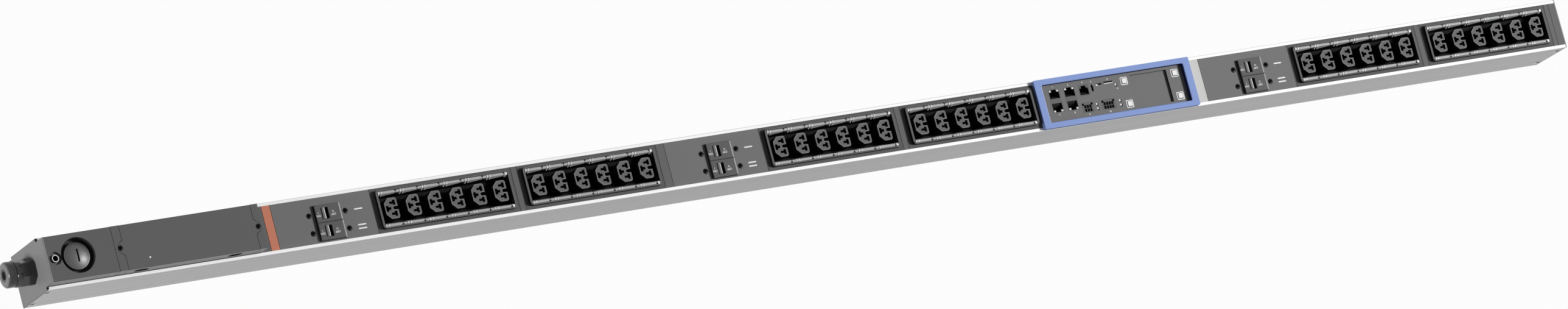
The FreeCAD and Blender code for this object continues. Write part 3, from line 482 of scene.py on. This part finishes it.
# cable gland nut: a profile turned round its axis along X; while the flats last, the radius is the lesser
# of the profile's and the hexagon's
glandLook = {"flats": 14.5 * mm, "hexEnd": 6.3 * mm, "hexFull": 15.5 * mm, "hexFoot": 14.9 * mm,
             "bevel": 0.6 * mm, "backGap": 0.05 * mm, "backBore": 10.0 * mm, "flatSlack": 0.1 * mm,
             "waist": 14.2 * mm, "waistStart": 0.2 * mm, "waistEnd": 0.9 * mm, "wall": 14.75 * mm,
             "bend": 14.3 * mm, "bendSteps": 10, "face": 11.8 * mm, "mouth": 7.45 * mm, "lip": 0.3 * mm,
             "deep": 4.0 * mm, "count": 96}


def dressGland():
    look = glandLook
    low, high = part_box("gland_nut")
    middle = middleOf("gland_nut")
    reach = high[0] - low[0]
    hexEnd = look["hexEnd"]
    turn = np.linspace(0, np.pi / 2, look["bendSteps"])
    nose = look["bend"] + (reach - look["bend"]) * np.sin(turn)
    shoulder = look["face"] + (look["wall"] - look["face"]) * np.cos(turn)
    along = [look["backGap"], look["backGap"], look["bevel"], hexEnd - look["bevel"], hexEnd,
             hexEnd + look["waistStart"], hexEnd + look["waistEnd"],
             *nose, reach, reach - look["lip"], reach - look["deep"]]
    radius = [look["backBore"], look["hexFoot"], look["hexFull"], look["hexFull"], look["hexFoot"],
              look["waist"], look["wall"],
              *shoulder, look["mouth"] + look["lip"], look["mouth"], look["mouth"]]
    along = np.array(along)[:, None] * np.ones(look["count"])
    radius = np.array(radius)[:, None] * np.ones(look["count"])
    angle = angles(look["count"])
    flat = along < hexEnd + look["flatSlack"]
    radius = np.where(flat, np.minimum(radius, hexagon(look["flats"], angle)), radius)
    points = np.stack([high[0] - along, middle[1] + radius * np.cos(angle),
                       middle[2] - radius * np.sin(angle)], -1)
    shape = gridMesh(points, closeRows=True, closeColumns=True)
    nut = addPiece("glandNut", shape, finishes["gland_plastic"])
    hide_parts("gland_nut")


# infeed plug: lines run from the coin slot's outline (s = 0) to the rim's circle (s = 1), and the height is
# crown - rise * (r / rim)^2; inside the slot the same lines go down to its floor. The liner of the recess
# is a thin dark cup turned round the plug, painted shade darkening the cover's recess
plugLook = {"radius": 15.6 * mm, "stand": 9.6 * mm, "crown": 10.8 * mm, "rise": 4.2 * mm, "edge": 0.5 * mm,
            "slotLong": 7.4 * mm, "slotWide": 1.05 * mm, "slotDeep": 5.0 * mm, "square": 12, "count": 72,
            "crownRows": 16, "edgeRows": 6, "edgeStart": 0.2,
            "shadeOut": 20.45 * mm, "shadeIn": 15.75 * mm, "shadeWall": 0.1 * mm, "shadeTop": 1.3 * mm,
            "shadeFoot": 0.02 * mm}


def dressPlug():
    look = plugLook
    middle = middleOf("entry_plug")
    spot = (middle[0], middle[1], topOf("entry_plug") - look["stand"])
    angle = angles(look["count"])
    wave = np.stack([np.cos(angle), np.sin(angle)], -1)
    slot = squared(wave, look["square"]) * np.array([look["slotWide"], look["slotLong"]])
    circle = wave * (look["radius"] - look["edge"])
    share = np.linspace(0, 1, look["crownRows"])[:, None, None]
    flat = slot * (1 - share) + circle * share
    height = look["crown"] - look["rise"] * (np.linalg.norm(flat, axis=-1) / look["radius"]) ** 2
    crown = np.concatenate([flat, height[..., None]], -1)
    turn = np.linspace(look["edgeStart"], np.pi / 2, look["edgeRows"])[:, None]
    spread = look["radius"] - look["edge"] * (1 - np.sin(turn))
    drop = height[-1] - look["edge"] * (1 - np.cos(turn))
    edge = np.concatenate([wave * spread[..., None], drop[..., None]], -1)
    ground = np.zeros((look["count"], 1))
    wall = np.concatenate([wave * look["radius"], ground], -1)[None]
    floor = np.concatenate([slot, ground + look["crown"] - look["slotDeep"]], -1)[None]
    points = np.concatenate([wall, edge[::-1], crown[::-1], floor]) + np.array(spot)
    plug = addPiece("entryPlugDome", gridMesh(points, closeColumns=True, capRows=True),
                    finishes["plug_black"], "entry_plug")
    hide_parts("entry_plug")
    outer, inner, thin, foot = look["shadeOut"], look["shadeIn"], look["shadeWall"], look["shadeFoot"]
    top = look["stand"] + look["shadeTop"]
    cup = turned([outer, outer - thin, outer - thin, inner, inner, outer],
                 [top, top, thin, thin, foot, foot], look["count"])
    shadeCup = gridMesh(cup, closeRows=True, closeColumns=True)
    addPiece("recessShadeLiner", placed(shadeCup, spot), recessShadeCoat)


# end plate: a stop on each shoulder; bush, finger pockets and seams by the lips: black pieces as painted
# shade
trimLook = {"nubLong": 2.0 * mm, "nubWide": 2.6 * mm, "nubTall": 2.8 * mm, "nubSide": 28.0 * mm,
            "gripPlaces": (-881.5 * mm, -765.8 * mm), "gripLevel": 85.0 * mm, "gripWall": 25.98 * mm,
            "gripDeep": 2.4 * mm, "gripSkin": 0.1 * mm, "gripBack": 1.02,
            "gripOutline": [(-9.95, 0.0), (-4.97, -3.96), (4.97, -3.96), (9.95, 0.0),
                            (4.97, 3.96), (-4.97, 3.96)],
            "boreEdge": 6.5 * mm, "boreWide": 0.5 * mm, "seamWide": 0.5 * mm, "seamSide": 26.2 * mm,
            "seamTall": 0.04 * mm}


# finger pocket shade: a black six-sided cup as painted shade, its outline carried from its back to the wall
# and in again to its floor
def gripShadeCup(side):
    look = trimLook
    outline = np.array(look["gripOutline"]) * mm
    size = np.array([look["gripBack"], look["gripBack"], 1.0, 1.0])[:, None]
    inset = np.array([look["gripDeep"] + look["gripSkin"], 0.0, 0.0, look["gripDeep"]])
    level = side * (look["gripWall"] - inset)[:, None] * np.ones(len(outline))
    points = np.stack([outline[:, 0] * size, level, outline[:, 1] * size], -1)
    return gridMesh(points[:, ::-side], closeColumns=True, capRows=True)


def dressTrim():
    look = trimLook
    nub = pad(look["nubLong"], look["nubWide"], look["nubTall"], count=24)
    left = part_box("infeed_end_plate")[0][0] + look["nubLong"] / 2
    spots = [(left, side * look["nubSide"], profileTop) for side in (-1, 1)]
    addPiece("shoulderNubs", placed(nub, *spots), blackPartsAndShade)
    spots = [(x, 0, look["gripLevel"]) for x in look["gripPlaces"]]
    gripShades = [placed(gripShadeCup(side), *spots) for side in (-1, 1)]
    addPiece("fingerPocketShades", joined(*gripShades), blackPartsAndShade, smooth=False)
    middle = middleOf("earth_bush")
    boreShade = band(look["boreEdge"], look["boreEdge"], look["boreWide"], look["seamTall"], square=2)
    spot = (middle[0], middle[1], topOf("earth_bush"))
    addPiece("bushBoreShade", placed(boreShade, spot), blackPartsAndShade)
    first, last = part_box("infeed_cover")[0][0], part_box("service_frame")[1][0]
    seamShade = pad(last - first, look["seamWide"], look["seamTall"], square=40)
    spots = [((first + last) / 2, side * look["seamSide"], profileTop) for side in (-1, 1)]
    addPiece("coverSeamShades", placed(seamShade, *spots), blackPartsAndShade, smooth=False)


# service bay and ends: lamp, cover screws and the countersunk side screws; places run from the bay's left
serviceLook = {"leftShift": 0.25 * mm, "lampPlace": 39.2 * mm, "lampSide": -15.1 * mm, "lamp": 3.4 * mm,
               "lampRise": 1.2 * mm, "lampSink": 1.25 * mm, "lampRings": 8, "lampCount": 24,
               "screwPlaces": (6.5 * mm, 176.6 * mm), "head": 6.56 * mm, "socket": 2.6 * mm,
               "deep": 1.6 * mm, "crown": 0.35 * mm, "sink": 0.02 * mm, "sideHead": 7.5 * mm,
               "sideInset": 4.3 * mm, "sideLevels": (12.6 * mm, 60.0 * mm), "sideSink": 0.15 * mm}


def dressService():
    look = serviceLook
    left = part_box("service_frame")[0][0] - look["leftShift"]
    top = topOf("service_cover")
    lamp = lampDome(look["lamp"], look["lampRise"], look["lampRings"], look["lampCount"])
    spot = (left + look["lampPlace"], look["lampSide"], top - look["lampSink"])
    addPiece("serviceLamp", placed(lamp, spot), lampClear)
    head = screwHead(look["head"], look["socket"], look["deep"], look["crown"])
    spots = [(left + place, 0, top - look["sink"]) for place in look["screwPlaces"]]
    addPiece("coverScrews", placed(head, *spots), screwBlack)
    low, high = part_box("profile")
    points, faces = screwHead(look["sideHead"], look["socket"], look["deep"], look["crown"])
    near = (points * np.array([1, 1, -1]))[:, [0, 2, 1]], faces   # turned to face -Y
    far = points[:, [0, 2, 1]] * np.array([-1, 1, 1]), faces       # turned to face +Y
    ends = [low[0] + look["sideInset"], high[0] - look["sideInset"]]
    nearSpots = [(x, low[1] + look["sideSink"], z) for x in ends for z in look["sideLevels"]]
    farSpots = [(x, high[1] - look["sideSink"], z) for x in ends for z in look["sideLevels"]]
    screws = joined(placed(near, *nearSpots), placed(far, *farSpots))
    addPiece("sideScrews", screws, screwBlack)


# outlet modules: core rims, light guides with ribs painted bright as a highlight, the clips that hold them,
# and black pads under their raised steps as painted shade; places run from a module's middle, and a rib of
# wideRib or more stands only past the last nick
outletLook = {"modules": 6, "cores": 6, "pitch": 27.7 * mm, "first": -69.25 * mm,
              "rim": 0.75 * mm, "rimWrap": -0.35 * mm, "rimHeight": 0.15 * mm, "rimDeep": 0.5 * mm,
              "rimBevel": 0.15 * mm, "guidePlace": 19.2 * mm, "guideTop": 4.5 * mm, "guideFlare": 0.4,
              "guideRound": 0.9 * mm, "guideReach": 82.5 * mm, "nick": 9.2 * mm, "lastNick": 70.0 * mm,
              "ribHalf": 1.78 * mm, "ribBevel": 0.15 * mm, "wideRib": 2.0 * mm,
              "clipLong": 2.6 * mm, "clipWide": 2.8 * mm, "clipTall": 2.8 * mm, "clipPlace": 20.6 * mm,
              "clipDrop": 2.3 * mm, "padShadeWide": 4.6 * mm, "padShadeTall": 2.7 * mm,
              "padShadePlace": 18.5 * mm}
# core outline in mm
coreLook = {"half": 7.85, "flat": 6.3, "shoulder": -2.25, "top": 12.0, "round": 2.4, "notch": 2.3,
            "notchPlace": 4.2, "steps": 7}
# one pitch of a light guide, from its nick on, in mm: (place, foot, top, half width)
guideSteps = [(-0.5, 2.2, 4.5, 1.7), (-0.45, 0.0, 1.6, 1.6), (0.4, 0.0, 1.6, 1.6), (0.45, 2.8, 4.2, 1.6),
              (5.9, 2.8, 4.2, 1.6), (5.95, -0.2, 4.5, 1.7), (7.25, -0.2, 4.5, 1.7), (7.3, 2.8, 4.2, 1.6),
              (9.3, 2.8, 4.2, 1.6), (9.35, -0.2, 4.5, 1.7)]
# prism ribs on it, painted brighter than the guide as a highlight, in mm: (place, width, foot, top)
guideRibs = [(6.6, 1.3, -0.1, 4.7), (8.3, 0.5, 2.6, 4.5), (10.0, 1.1, 0.1, 4.65), (2.2, 3.0, -0.2, 4.7)]
# black pads under its raised steps, painted shade, in mm: (place, length)
guideShadePads = [(3.1, 5.7), (8.3, 2.0)]
coreSteps = outletLook["first"] + outletLook["pitch"] * np.arange(outletLook["cores"])
nickSteps = np.append(coreSteps[0] - outletLook["pitch"], coreSteps) + outletLook["nick"]


# core outline: two cut corners at the left, two round ones at the right, a round-bottomed notch between
def coreOutline():
    look = coreLook
    turn = np.linspace(np.pi / 2, 0, look["steps"])
    bend = look["round"] * np.stack([np.cos(turn) - 1, np.sin(turn) - 1], -1)
    inside = np.linspace(np.pi / 2, np.pi, look["steps"])[:-1]
    notch = look["notch"] * np.stack([np.cos(inside), np.sin(inside)], -1)
    upper = np.vstack([(-look["half"], look["flat"]), (look["shoulder"], look["top"]),
                       bend + np.array([look["half"], look["top"]]), (look["half"], look["notch"]),
                       notch + np.array([look["notchPlace"], 0])])
    deepest = (look["notchPlace"] - look["notch"], 0.0)
    whole = np.vstack([upper, deepest, upper[::-1] * np.array([1, -1])])
    return whole[::-1] * mm


# rounded section of a guide from one foot over the top to the other; on the trough's side the wall leans
# out by flare times its height
def guideSection(foot, top, half):
    look = outletLook
    turn = np.linspace(0, np.pi / 2, 5)
    lift = look["guideRound"] * (np.sin(turn) - 1)
    inset = look["guideRound"] * (1 - np.cos(turn))
    side = half[:, None] - np.concatenate([[0.0], inset])
    level = top[:, None] + np.concatenate([[0.0], lift])
    level[:, 0] = foot
    lean = np.zeros_like(side)
    lean[:, 0] = look["guideFlare"] * (top - look["guideRound"] - foot)
    return np.hstack([side, -(side + lean)[:, ::-1]]), np.hstack([level, level[:, ::-1]])


# that section carried along X; side 1 is the far guide and -1 the near one, its mirror image
def guideMesh(along, section, side):
    across, level = section
    points = np.stack([along[:, None] * np.ones(across.shape[1]), across, level], -1)
    return gridMesh(points[:, ::side] * np.array([1, side, 1]), closeColumns=True, capRows=True)


# guide: the section through the steps of every pitch, cut off at the bezel's ends
def guideBar(side):
    reach = outletLook["guideReach"]
    steps = np.array(guideSteps) * mm
    along = np.add.outer(nickSteps, steps[:, 0]).ravel()
    foot, top, half = (np.tile(steps[:, n], len(nickSteps)) for n in (1, 2, 3))
    inside = np.flatnonzero(np.abs(along) < reach)
    kept = np.concatenate([inside[:1], inside, inside[-1:]])
    along = np.concatenate([[-reach], along[inside], [reach]])
    return guideMesh(along, guideSection(foot[kept], top[kept], half[kept]), side)


# rib: the same section over a short length, drawn in by a bevel at both ends
def guideRib(width, foot, top, side):
    ends = np.array([-width, -width, width, width]) / 2
    shrink = np.array([1, 0, 0, 1]) * outletLook["ribBevel"]
    section = guideSection(np.full(4, foot), top - shrink, outletLook["ribHalf"] - shrink)
    return guideMesh(ends - np.sign(ends) * shrink, section, side)


def dressOutlets():
    look = outletLook
    reach, lastNick = look["guideReach"], look["lastNick"]
    bars = {side: guideBar(side) for side in (-1, 1)}
    clip = pad(look["clipLong"], look["clipWide"], look["clipTall"], count=24)
    clipFoot = profileTop + look["guideTop"] - look["clipDrop"]
    edge = rim(coreOutline(), look["rimWrap"], look["rim"], look["rimHeight"], look["rimDeep"],
               look["rimBevel"])
    rims, clips, middles = [], [], []
    for module in range(1, look["modules"] + 1):
        middle = middleOf("outlet_frame_%d" % module)[0]
        middles.append(middle)
        faceTop = topOf("outlet_insert_%d" % module)
        rims += [(x, 0, faceTop) for x in middle + coreSteps]
        nicks = middle + nickSteps[1:]
        clips += [(x, side * look["clipPlace"], clipFoot) for x in nicks for side in (-1, 1)]
        pair = [placed(bars[side], (middle, side * look["guidePlace"], profileTop)) for side in (-1, 1)]
        guides = addPiece("lightGuides%d" % module, joined(*pair), finishes["guide_clear"])
        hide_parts("outlet_guides_%d" % module)
    addPiece("coreRims", placed(edge, *rims), rimGrey)
    addPiece("guideClips", placed(clip, *clips), clipsAndShadePads)
    prisms, shadePads = [], []
    for side in (-1, 1):
        for place, width, foot, top in np.array(guideRibs) * mm:
            steps = [nick + place for nick in nickSteps if abs(nick + place) < reach - width / 2
                     and (width < look["wideRib"] or nick > lastNick)]
            spots = [(x + step, side * look["guidePlace"], profileTop) for x in middles for step in steps]
            prisms.append(placed(guideRib(width, foot, top, side), *spots))
        for place, length in np.array(guideShadePads) * mm:
            shadePad = pad(length, look["padShadeWide"], look["padShadeTall"], square=4, count=24)
            steps = [nick + place for nick in nickSteps if abs(nick + place) < reach - length / 2
                     and nick < lastNick]
            spots = [(x + step, side * look["padShadePlace"], profileTop) for x in middles for step in steps]
            shadePads.append(placed(shadePad, *spots))
    addPiece("guideRibs", joined(*prisms), ribHighlight)
    addPiece("guideShadePads", joined(*shadePads), clipsAndShadePads)


# breaker rocker: a section of (across, along) points in mm from the pin, leaning to -X, carried along Y
# through ends of (share of the half width, size of the section)
rockerLook = {"pinShift": -4.1 * mm, "pinDrop": 11.0 * mm, "lean": math.radians(11), "half": 6.45 * mm,
              "section": [(-1.15, 3.0), (-1.15, 11.6), (-0.95, 11.95), (-0.6, 12.1), (0.9, 12.2),
                          (1.2, 12.15), (2.35, 11.15), (2.35, 3.0)],
              "ends": [(-1.0, 0.93), (-0.97, 1.0), (0.97, 1.0), (1.0, 0.93)]}


def rocker():
    look = rockerLook
    section = np.array(look["section"]) * mm
    ends = np.array(look["ends"])
    middle = section.mean(0)
    flat = middle + (section - middle) * ends[:, 1, None, None]
    cos, sin = math.cos(look["lean"]), math.sin(look["lean"])
    across, along = flat[..., 0], flat[..., 1]
    side = ends[:, :1] * look["half"] * np.ones(len(section))
    points = np.stack([across * cos - along * sin, side, across * sin + along * cos], -1)
    return gridMesh(points, closeColumns=True, capRows=True)


# breaker plates: screws, phase bars, a pale strip on each case's +X edge as a painted highlight, and the
# words beside each handle
breakerLook = {"screwSpan": 45.6 * mm, "head": 6.56 * mm, "socket": 2.6 * mm, "deep": 2.0 * mm,
               "crown": 0.5 * mm, "stand": 0.3 * mm, "barLength": 10.4 * mm, "barWidth": 1.5 * mm,
               "barPlace": 106.0 * mm, "barSpread": 4.3 * mm, "ink": 0.06 * mm, "wordSize": 3.5 * mm,
               "signSize": 2.975 * mm, "onPlace": -12.65 * mm, "offPlace": 6.0 * mm, "wordRow": -2.3 * mm,
               "signRow": 1.1 * mm, "highlightWide": 0.9 * mm, "highlightInset": 0.65 * mm, "caseHalf": 16.0 * mm}


def dressBreakers():
    look = breakerLook
    head = screwHead(look["head"], look["socket"], look["deep"], look["crown"])
    bar = pad(look["barLength"], look["barWidth"], look["ink"], square=10)
    low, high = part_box("breaker_1")
    edge = pad(look["highlightWide"], high[1] - low[1] - 2 * look["highlightInset"], look["ink"], square=20)
    highlightPlace = look["caseHalf"] - look["highlightInset"] - look["highlightWide"] / 2
    screws, bars, words, edges = [], [], [], []
    for plate in (1, 2, 3):
        plateTop = topOf("breaker_plate_%d" % plate)
        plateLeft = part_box("breaker_plate_%d" % plate)[0][0]
        for row, number in enumerate((2 * plate - 1, 2 * plate)):
            middle = middleOf("breaker_%d" % number)
            top = topOf("breaker_%d" % number)
            handle = "breaker_handle_%d" % number
            pin = (middle[0] + rockerLook["pinShift"], middle[1], top - rockerLook["pinDrop"])
            lever = addPiece("breakerRocker%d" % number, placed(rocker(), pin), finishes["handle_grey"],
                             handle)
            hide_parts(handle)
            edges.append((middle[0] + highlightPlace, middle[1], top))
            for side in (-0.5, 0.5):
                spot = (middle[0] + side * look["screwSpan"], middle[1], plateTop + look["stand"])
                screws.append(spot)
            spread = [0.0] if row == 0 else [-look["barSpread"] / 2, look["barSpread"] / 2]
            bars += [(plateLeft + look["barPlace"], middle[1] + shift, plateTop) for shift in spread]
            for word, sign, place in (("ON", "I", look["onPlace"]), ("OFF", "O", look["offPlace"])):
                spot = (middle[0] + place, middle[1] + look["wordRow"], top)
                words.append(lettering(word, look["wordSize"], spot, math.pi))
                spot = (middle[0] + place, middle[1] + look["signRow"], top)
                words.append(lettering(sign, look["signSize"], spot, math.pi))
    addPiece("breakerScrews", placed(head, *screws), screwBlack)
    addPiece("breakerEdgeHighlights", placed(edge, *edges), edgeHighlight)
    addPiece("phaseBars", placed(bar, *bars), inkWhite)
    addPiece("breakerWords", joined(*words), inkPale, smooth=False)


# controller panel: key outlines, lamps with a black seat shifted beside each as a painted shadow, and port
# lamps;
# rows, sides, spots and jacks here and below are in mm from the panel's middle
panelLook = {"outline": 9.6 * mm, "outlineBand": 0.8 * mm, "ink": 0.05 * mm, "keys": 4,
             "lamp": 3.1 * mm, "lampRise": 0.9 * mm, "lampRings": 9, "lampCount": 40,
             "lampSpots": [(4.1, 11.3), (-27.6, -8.3), (-27.6, -13.65), (4.1, -8.3), (4.1, -13.65)],
             "seat": 4.2 * mm, "seatTall": 0.12 * mm, "seatShift": (0.35, -0.2, 0.0),
             "lensLong": 2.3 * mm, "lensWide": 2.07 * mm, "lensTall": 0.3 * mm, "lensSide": 5.0,
             "lensRows": (15.2, -9.2), "jacks": (-80.0, -59.2)}
panelMiddle = middleOf("controller_panel")[0]
panelTop = topOf("controller_panel")


def panelSpot(x, y, z=0.0):
    return (panelMiddle + x * mm, y * mm, panelTop + z)


def dressPanel():
    look = panelLook
    caps = [middleOf("menu_button_%d" % key) for key in range(1, look["keys"] + 1)]
    outline = band(look["outline"], look["outline"], look["outlineBand"], look["ink"])
    spots = [(cap[0], cap[1], panelTop) for cap in caps]
    addPiece("keyOutlines", placed(outline, *spots), inkWhite)
    lamp = lampDome(look["lamp"], look["lampRise"], look["lampRings"], look["lampCount"])
    seat = pad(look["seat"], look["seat"], look["seatTall"], square=2.2)
    spots = np.array([panelSpot(x, y) for x, y in look["lampSpots"]])
    shift = np.array(look["seatShift"]) * mm
    addPiece("panelLamps", placed(lamp, *(spots - shift)), lampClear)
    # a black seat shifted from each lamp, so a dark crescent beside it is a painted shadow
    addPiece("lampShadowSeats", placed(seat, *(spots + shift)), blackPartsAndShade)
    lens = pad(look["lensLong"], look["lensWide"], look["lensTall"])
    spots = [panelSpot(x + side * look["lensSide"], y)
             for x in look["jacks"] for y in look["lensRows"] for side in (-1, 1)]
    addPiece("portLamps", placed(lens, *spots), lampClear)


# controller ports: slot lips over a black sheet that paints shade behind the slots, the oval port's edge,
# terminal poles, jack contacts and plain numbers (text, x, y); a spring's path is (y, z) points in mm
portLook = {"cardLong": 12.5 * mm, "cardWide": 0.85 * mm, "cardSpot": (-5.0, 14.6),
            "smallLong": 2.6 * mm, "smallWide": 1.7 * mm, "smallSpot": (-21.0, 14.2), "lipTall": 0.3 * mm,
            "shadeLong": 38.0 * mm, "shadeWide": 13.0 * mm, "shadeTall": 0.3 * mm,
            "shadeSpot": (-13.0, 12.5), "shadeDeep": 3.6 * mm, "ovalLong": 3.5 * mm, "ovalWide": 9.3 * mm,
            "ovalBand": 0.3 * mm, "ovalTall": 0.05 * mm, "ovalSpot": (-27.7, 11.6),
            "headers": ((-40.0, 3), (-11.8, 4)), "polePitch": 3.5, "poleRow": -11.6,
            "poleWide": 2.9 * mm, "poleLong": 8.4 * mm, "collarBand": 0.5 * mm, "collarTall": 0.08 * mm,
            "bridgeLong": 1.9 * mm, "bridgeWide": 0.8 * mm, "bridgeTall": 0.7 * mm,
            "contact": 0.55 * mm, "contactThick": 0.25 * mm, "contactPitch": 1.25, "contacts": 8,
            "sensorJack": -39.5, "upperPath": [(10.5, -9.0), (8.0, -3.0), (6.1, -1.5)],
            "lowerPath": [(-0.1, -1.5), (-2.0, -3.0), (-4.5, -9.0)], "number": 2.8 * mm,
            "numbers": [("1", -80, 20), ("2", -59, 20), ("3", -39.5, 20), ("4", -27.7, 19.5),
                        ("5", -5, 19.3), ("6", 5.5, 6.6), ("7", -80, -14.2), ("8", -59, -14.2),
                        ("9", -40, -19.2), ("10", -11.8, -19.6)]}


# contact spring: a flat strip carried along points of Y and Z
def spring(path):
    path = np.array(path) * mm
    corner = np.array([(-0.5, 0), (0.5, 0), (0.5, 1), (-0.5, 1)])
    across = corner[:, 0] * portLook["contact"] * np.ones((len(path), 1))
    points = np.stack([across, path[:, :1] * np.ones(len(corner)),
                       path[:, 1:] + corner[:, 1] * portLook["contactThick"]], -1)
    return gridMesh(points, closeColumns=True, capRows=True)


def dressPorts():
    look = portLook
    card = pad(look["cardLong"], look["cardWide"], look["lipTall"])
    small = pad(look["smallLong"], look["smallWide"], look["lipTall"])
    lips = [placed(card, panelSpot(*look["cardSpot"])), placed(small, panelSpot(*look["smallSpot"]))]
    addPiece("slotLips", joined(*lips), inkWhite)
    # black sheet under the slots, painted shade
    shade = pad(look["shadeLong"], look["shadeWide"], look["shadeTall"], square=20)
    spot = panelSpot(*look["shadeSpot"], -look["shadeDeep"])
    addPiece("slotShade", placed(shade, spot), blackPartsAndShade)
    oval = band(look["ovalLong"], look["ovalWide"], look["ovalBand"], look["ovalTall"], square=3)
    addPiece("portEdge", placed(oval, panelSpot(*look["ovalSpot"])), rimGrey)
    poles = [(x + look["polePitch"] * (n - (count - 1) / 2), look["poleRow"])
             for x, count in look["headers"] for n in range(count)]
    collar = band(look["poleWide"], look["poleLong"], look["collarBand"], look["collarTall"], square=16)
    spots = [panelSpot(x, y) for x, y in poles]
    addPiece("poleCollars", placed(collar, *spots), blackPartsAndShade)
    bridge = pad(look["bridgeLong"], look["bridgeWide"], look["bridgeTall"])
    spots = [panelSpot(x, y, -look["bridgeTall"]) for x, y in poles]
    addPiece("poleBridges", placed(bridge, *spots), finishes["panel_grey"])
    row = [look["contactPitch"] * (n - (look["contacts"] - 1) / 2) for n in range(look["contacts"])]
    spots = [panelSpot(x + n, 0) for x in panelLook["jacks"] for n in row]
    sensorSpots = [panelSpot(look["sensorJack"] + n, 0) for n in row[1:-1]]
    upper, lower = spring(look["upperPath"]), spring(look["lowerPath"])
    contacts = [placed(upper, *spots), placed(upper, *sensorSpots), placed(lower, *spots)]
    addPiece("portContacts", joined(*contacts), contactDull)
    words = [lettering(text, look["number"], panelSpot(x, y)) for text, x, y in look["numbers"]]
    addPiece("portNumbers", joined(*words), inkWhite, smooth=False)


dressGland()
dressPlug()
dressTrim()
print("gland, plug and covers dressed")
dressService()
dressOutlets()
print("service bay and outlets dressed")
dressBreakers()
dressPanel()
dressPorts()
print("breakers and controller dressed")


# floor and sky: white to the camera, grey and dim to the object
stageLook = {"floorTone": tone(130), "floorGlow": 0.97, "floorHalf": 12.0, "floorLines": 5,
             "gap": 0.1 * mm, "world": 0.1}


# 1 on rays from the camera, and on what gloss and clear plastic show
def shown(wire):
    camera = wire.node("ShaderNodeLightPath", out="Is Camera Ray")
    gloss = wire.node("ShaderNodeLightPath", out="Is Glossy Ray")
    clear = wire.node("ShaderNodeLightPath", out="Is Transmission Ray")
    return wire.math("MINIMUM", camera + gloss + clear, 1.0)


# floor: a flat square grid, a hair under the object
def makeFloor():
    look = stageLook
    material, wire = freshMaterial("paleFloor")
    plain = wire.node("ShaderNodeBsdfDiffuse", None, {"Color": look["floorTone"]})
    glow = wire.node("ShaderNodeEmission", None, {"Color": white, "Strength": 1.0})
    share = shown(wire) * look["floorGlow"]
    surface = wire.node("ShaderNodeMixShader", None, {0: share, 1: plain, 2: glow})
    wire.node("ShaderNodeOutputMaterial", None, {"Surface": surface})
    side = np.linspace(-look["floorHalf"], look["floorHalf"], look["floorLines"])
    across, along = np.meshgrid(side, side, indexing="ij")
    points, faces = gridMesh(np.stack([across, along, np.full_like(across, -look["gap"])], -1))
    mesh = bpy.data.meshes.new("floor")
    mesh.from_pydata(points.tolist(), [], faces)
    mesh.materials.append(material)
    floor = bpy.data.objects.new("floor", mesh)
    bpy.context.scene.collection.objects.link(floor)


def makeSky():
    world = bpy.data.worlds.new("studio")
    bpy.context.scene.world = world
    world.use_nodes = True
    world.node_tree.nodes.clear()
    air = Wire(world.node_tree)
    strength = stageLook["world"] + shown(air) * (1 - stageLook["world"])
    sky = air.node("ShaderNodeBackground", None, {"Color": white, "Strength": strength})
    air.node("ShaderNodeOutputWorld", None, {"Surface": sky})


# soft lights: the key from the right and above, and a weak one on the cable end
lightLook = {
    "key": {"spot": (7.2, -1.1, 8.1), "aim": (0, 0, 0), "size": (2.0, 2.0), "power": 1200},
    "cableEnd": {"spot": (-2.4, -0.2, 0.22), "aim": (-1.0, 0, 0.05), "size": (0.6, 0.3), "power": 19},
}
lightUp = (0.0, 1.0, 0.01)   # where the upper edge of a light points


def addLight(name, look):
    lamp = bpy.data.lights.new(name, "AREA")
    lamp.shape = "RECTANGLE"
    lamp.size, lamp.size_y = look["size"]
    lamp.energy = look["power"]
    holder = bpy.data.objects.new(name, lamp)
    holder.visible_camera = False
    bpy.context.scene.collection.objects.link(holder)
    spot = look["spot"]
    away = np.array(spot) - np.array(look["aim"])
    away = away / np.linalg.norm(away)
    right = np.cross(lightUp, away)
    right = right / np.linalg.norm(right)
    up = np.cross(away, right)
    rows = [(right[n], up[n], away[n], spot[n]) for n in range(3)]
    holder.matrix_world = Matrix(rows + [(0, 0, 0, 1)])


# fitted view of the photograph: place, axes and focal length for a frame of 2576 by 507
viewLook = {"place": (-5.0230, -1.9548, 9.1271), "right": (0.87019, -0.25155, 0.42366),
            "up": (0.13825, 0.94997, 0.28009), "back": (-0.47292, -0.18516, 0.86143),
            "focalPixels": 14978.6, "framePixels": 2576, "sensor": 36.0}


def makeCamera():
    look = viewLook
    data = bpy.data.cameras.new("camera")
    data.sensor_fit = "HORIZONTAL"
    data.sensor_width = look["sensor"]
    data.lens = look["focalPixels"] / look["framePixels"] * look["sensor"]
    holder = bpy.data.objects.new("camera", data)
    bpy.context.scene.collection.objects.link(holder)
    axes = zip(look["right"], look["up"], look["back"], look["place"])
    holder.matrix_world = Matrix([tuple(row) for row in axes] + [(0, 0, 0, 1)])
    bpy.context.scene.camera = holder


makeFloor()
makeSky()
for name, look in lightLook.items():
    addLight(name, look)
makeCamera()
bpy.context.scene.view_settings.view_transform = "Standard"
print("stage set")
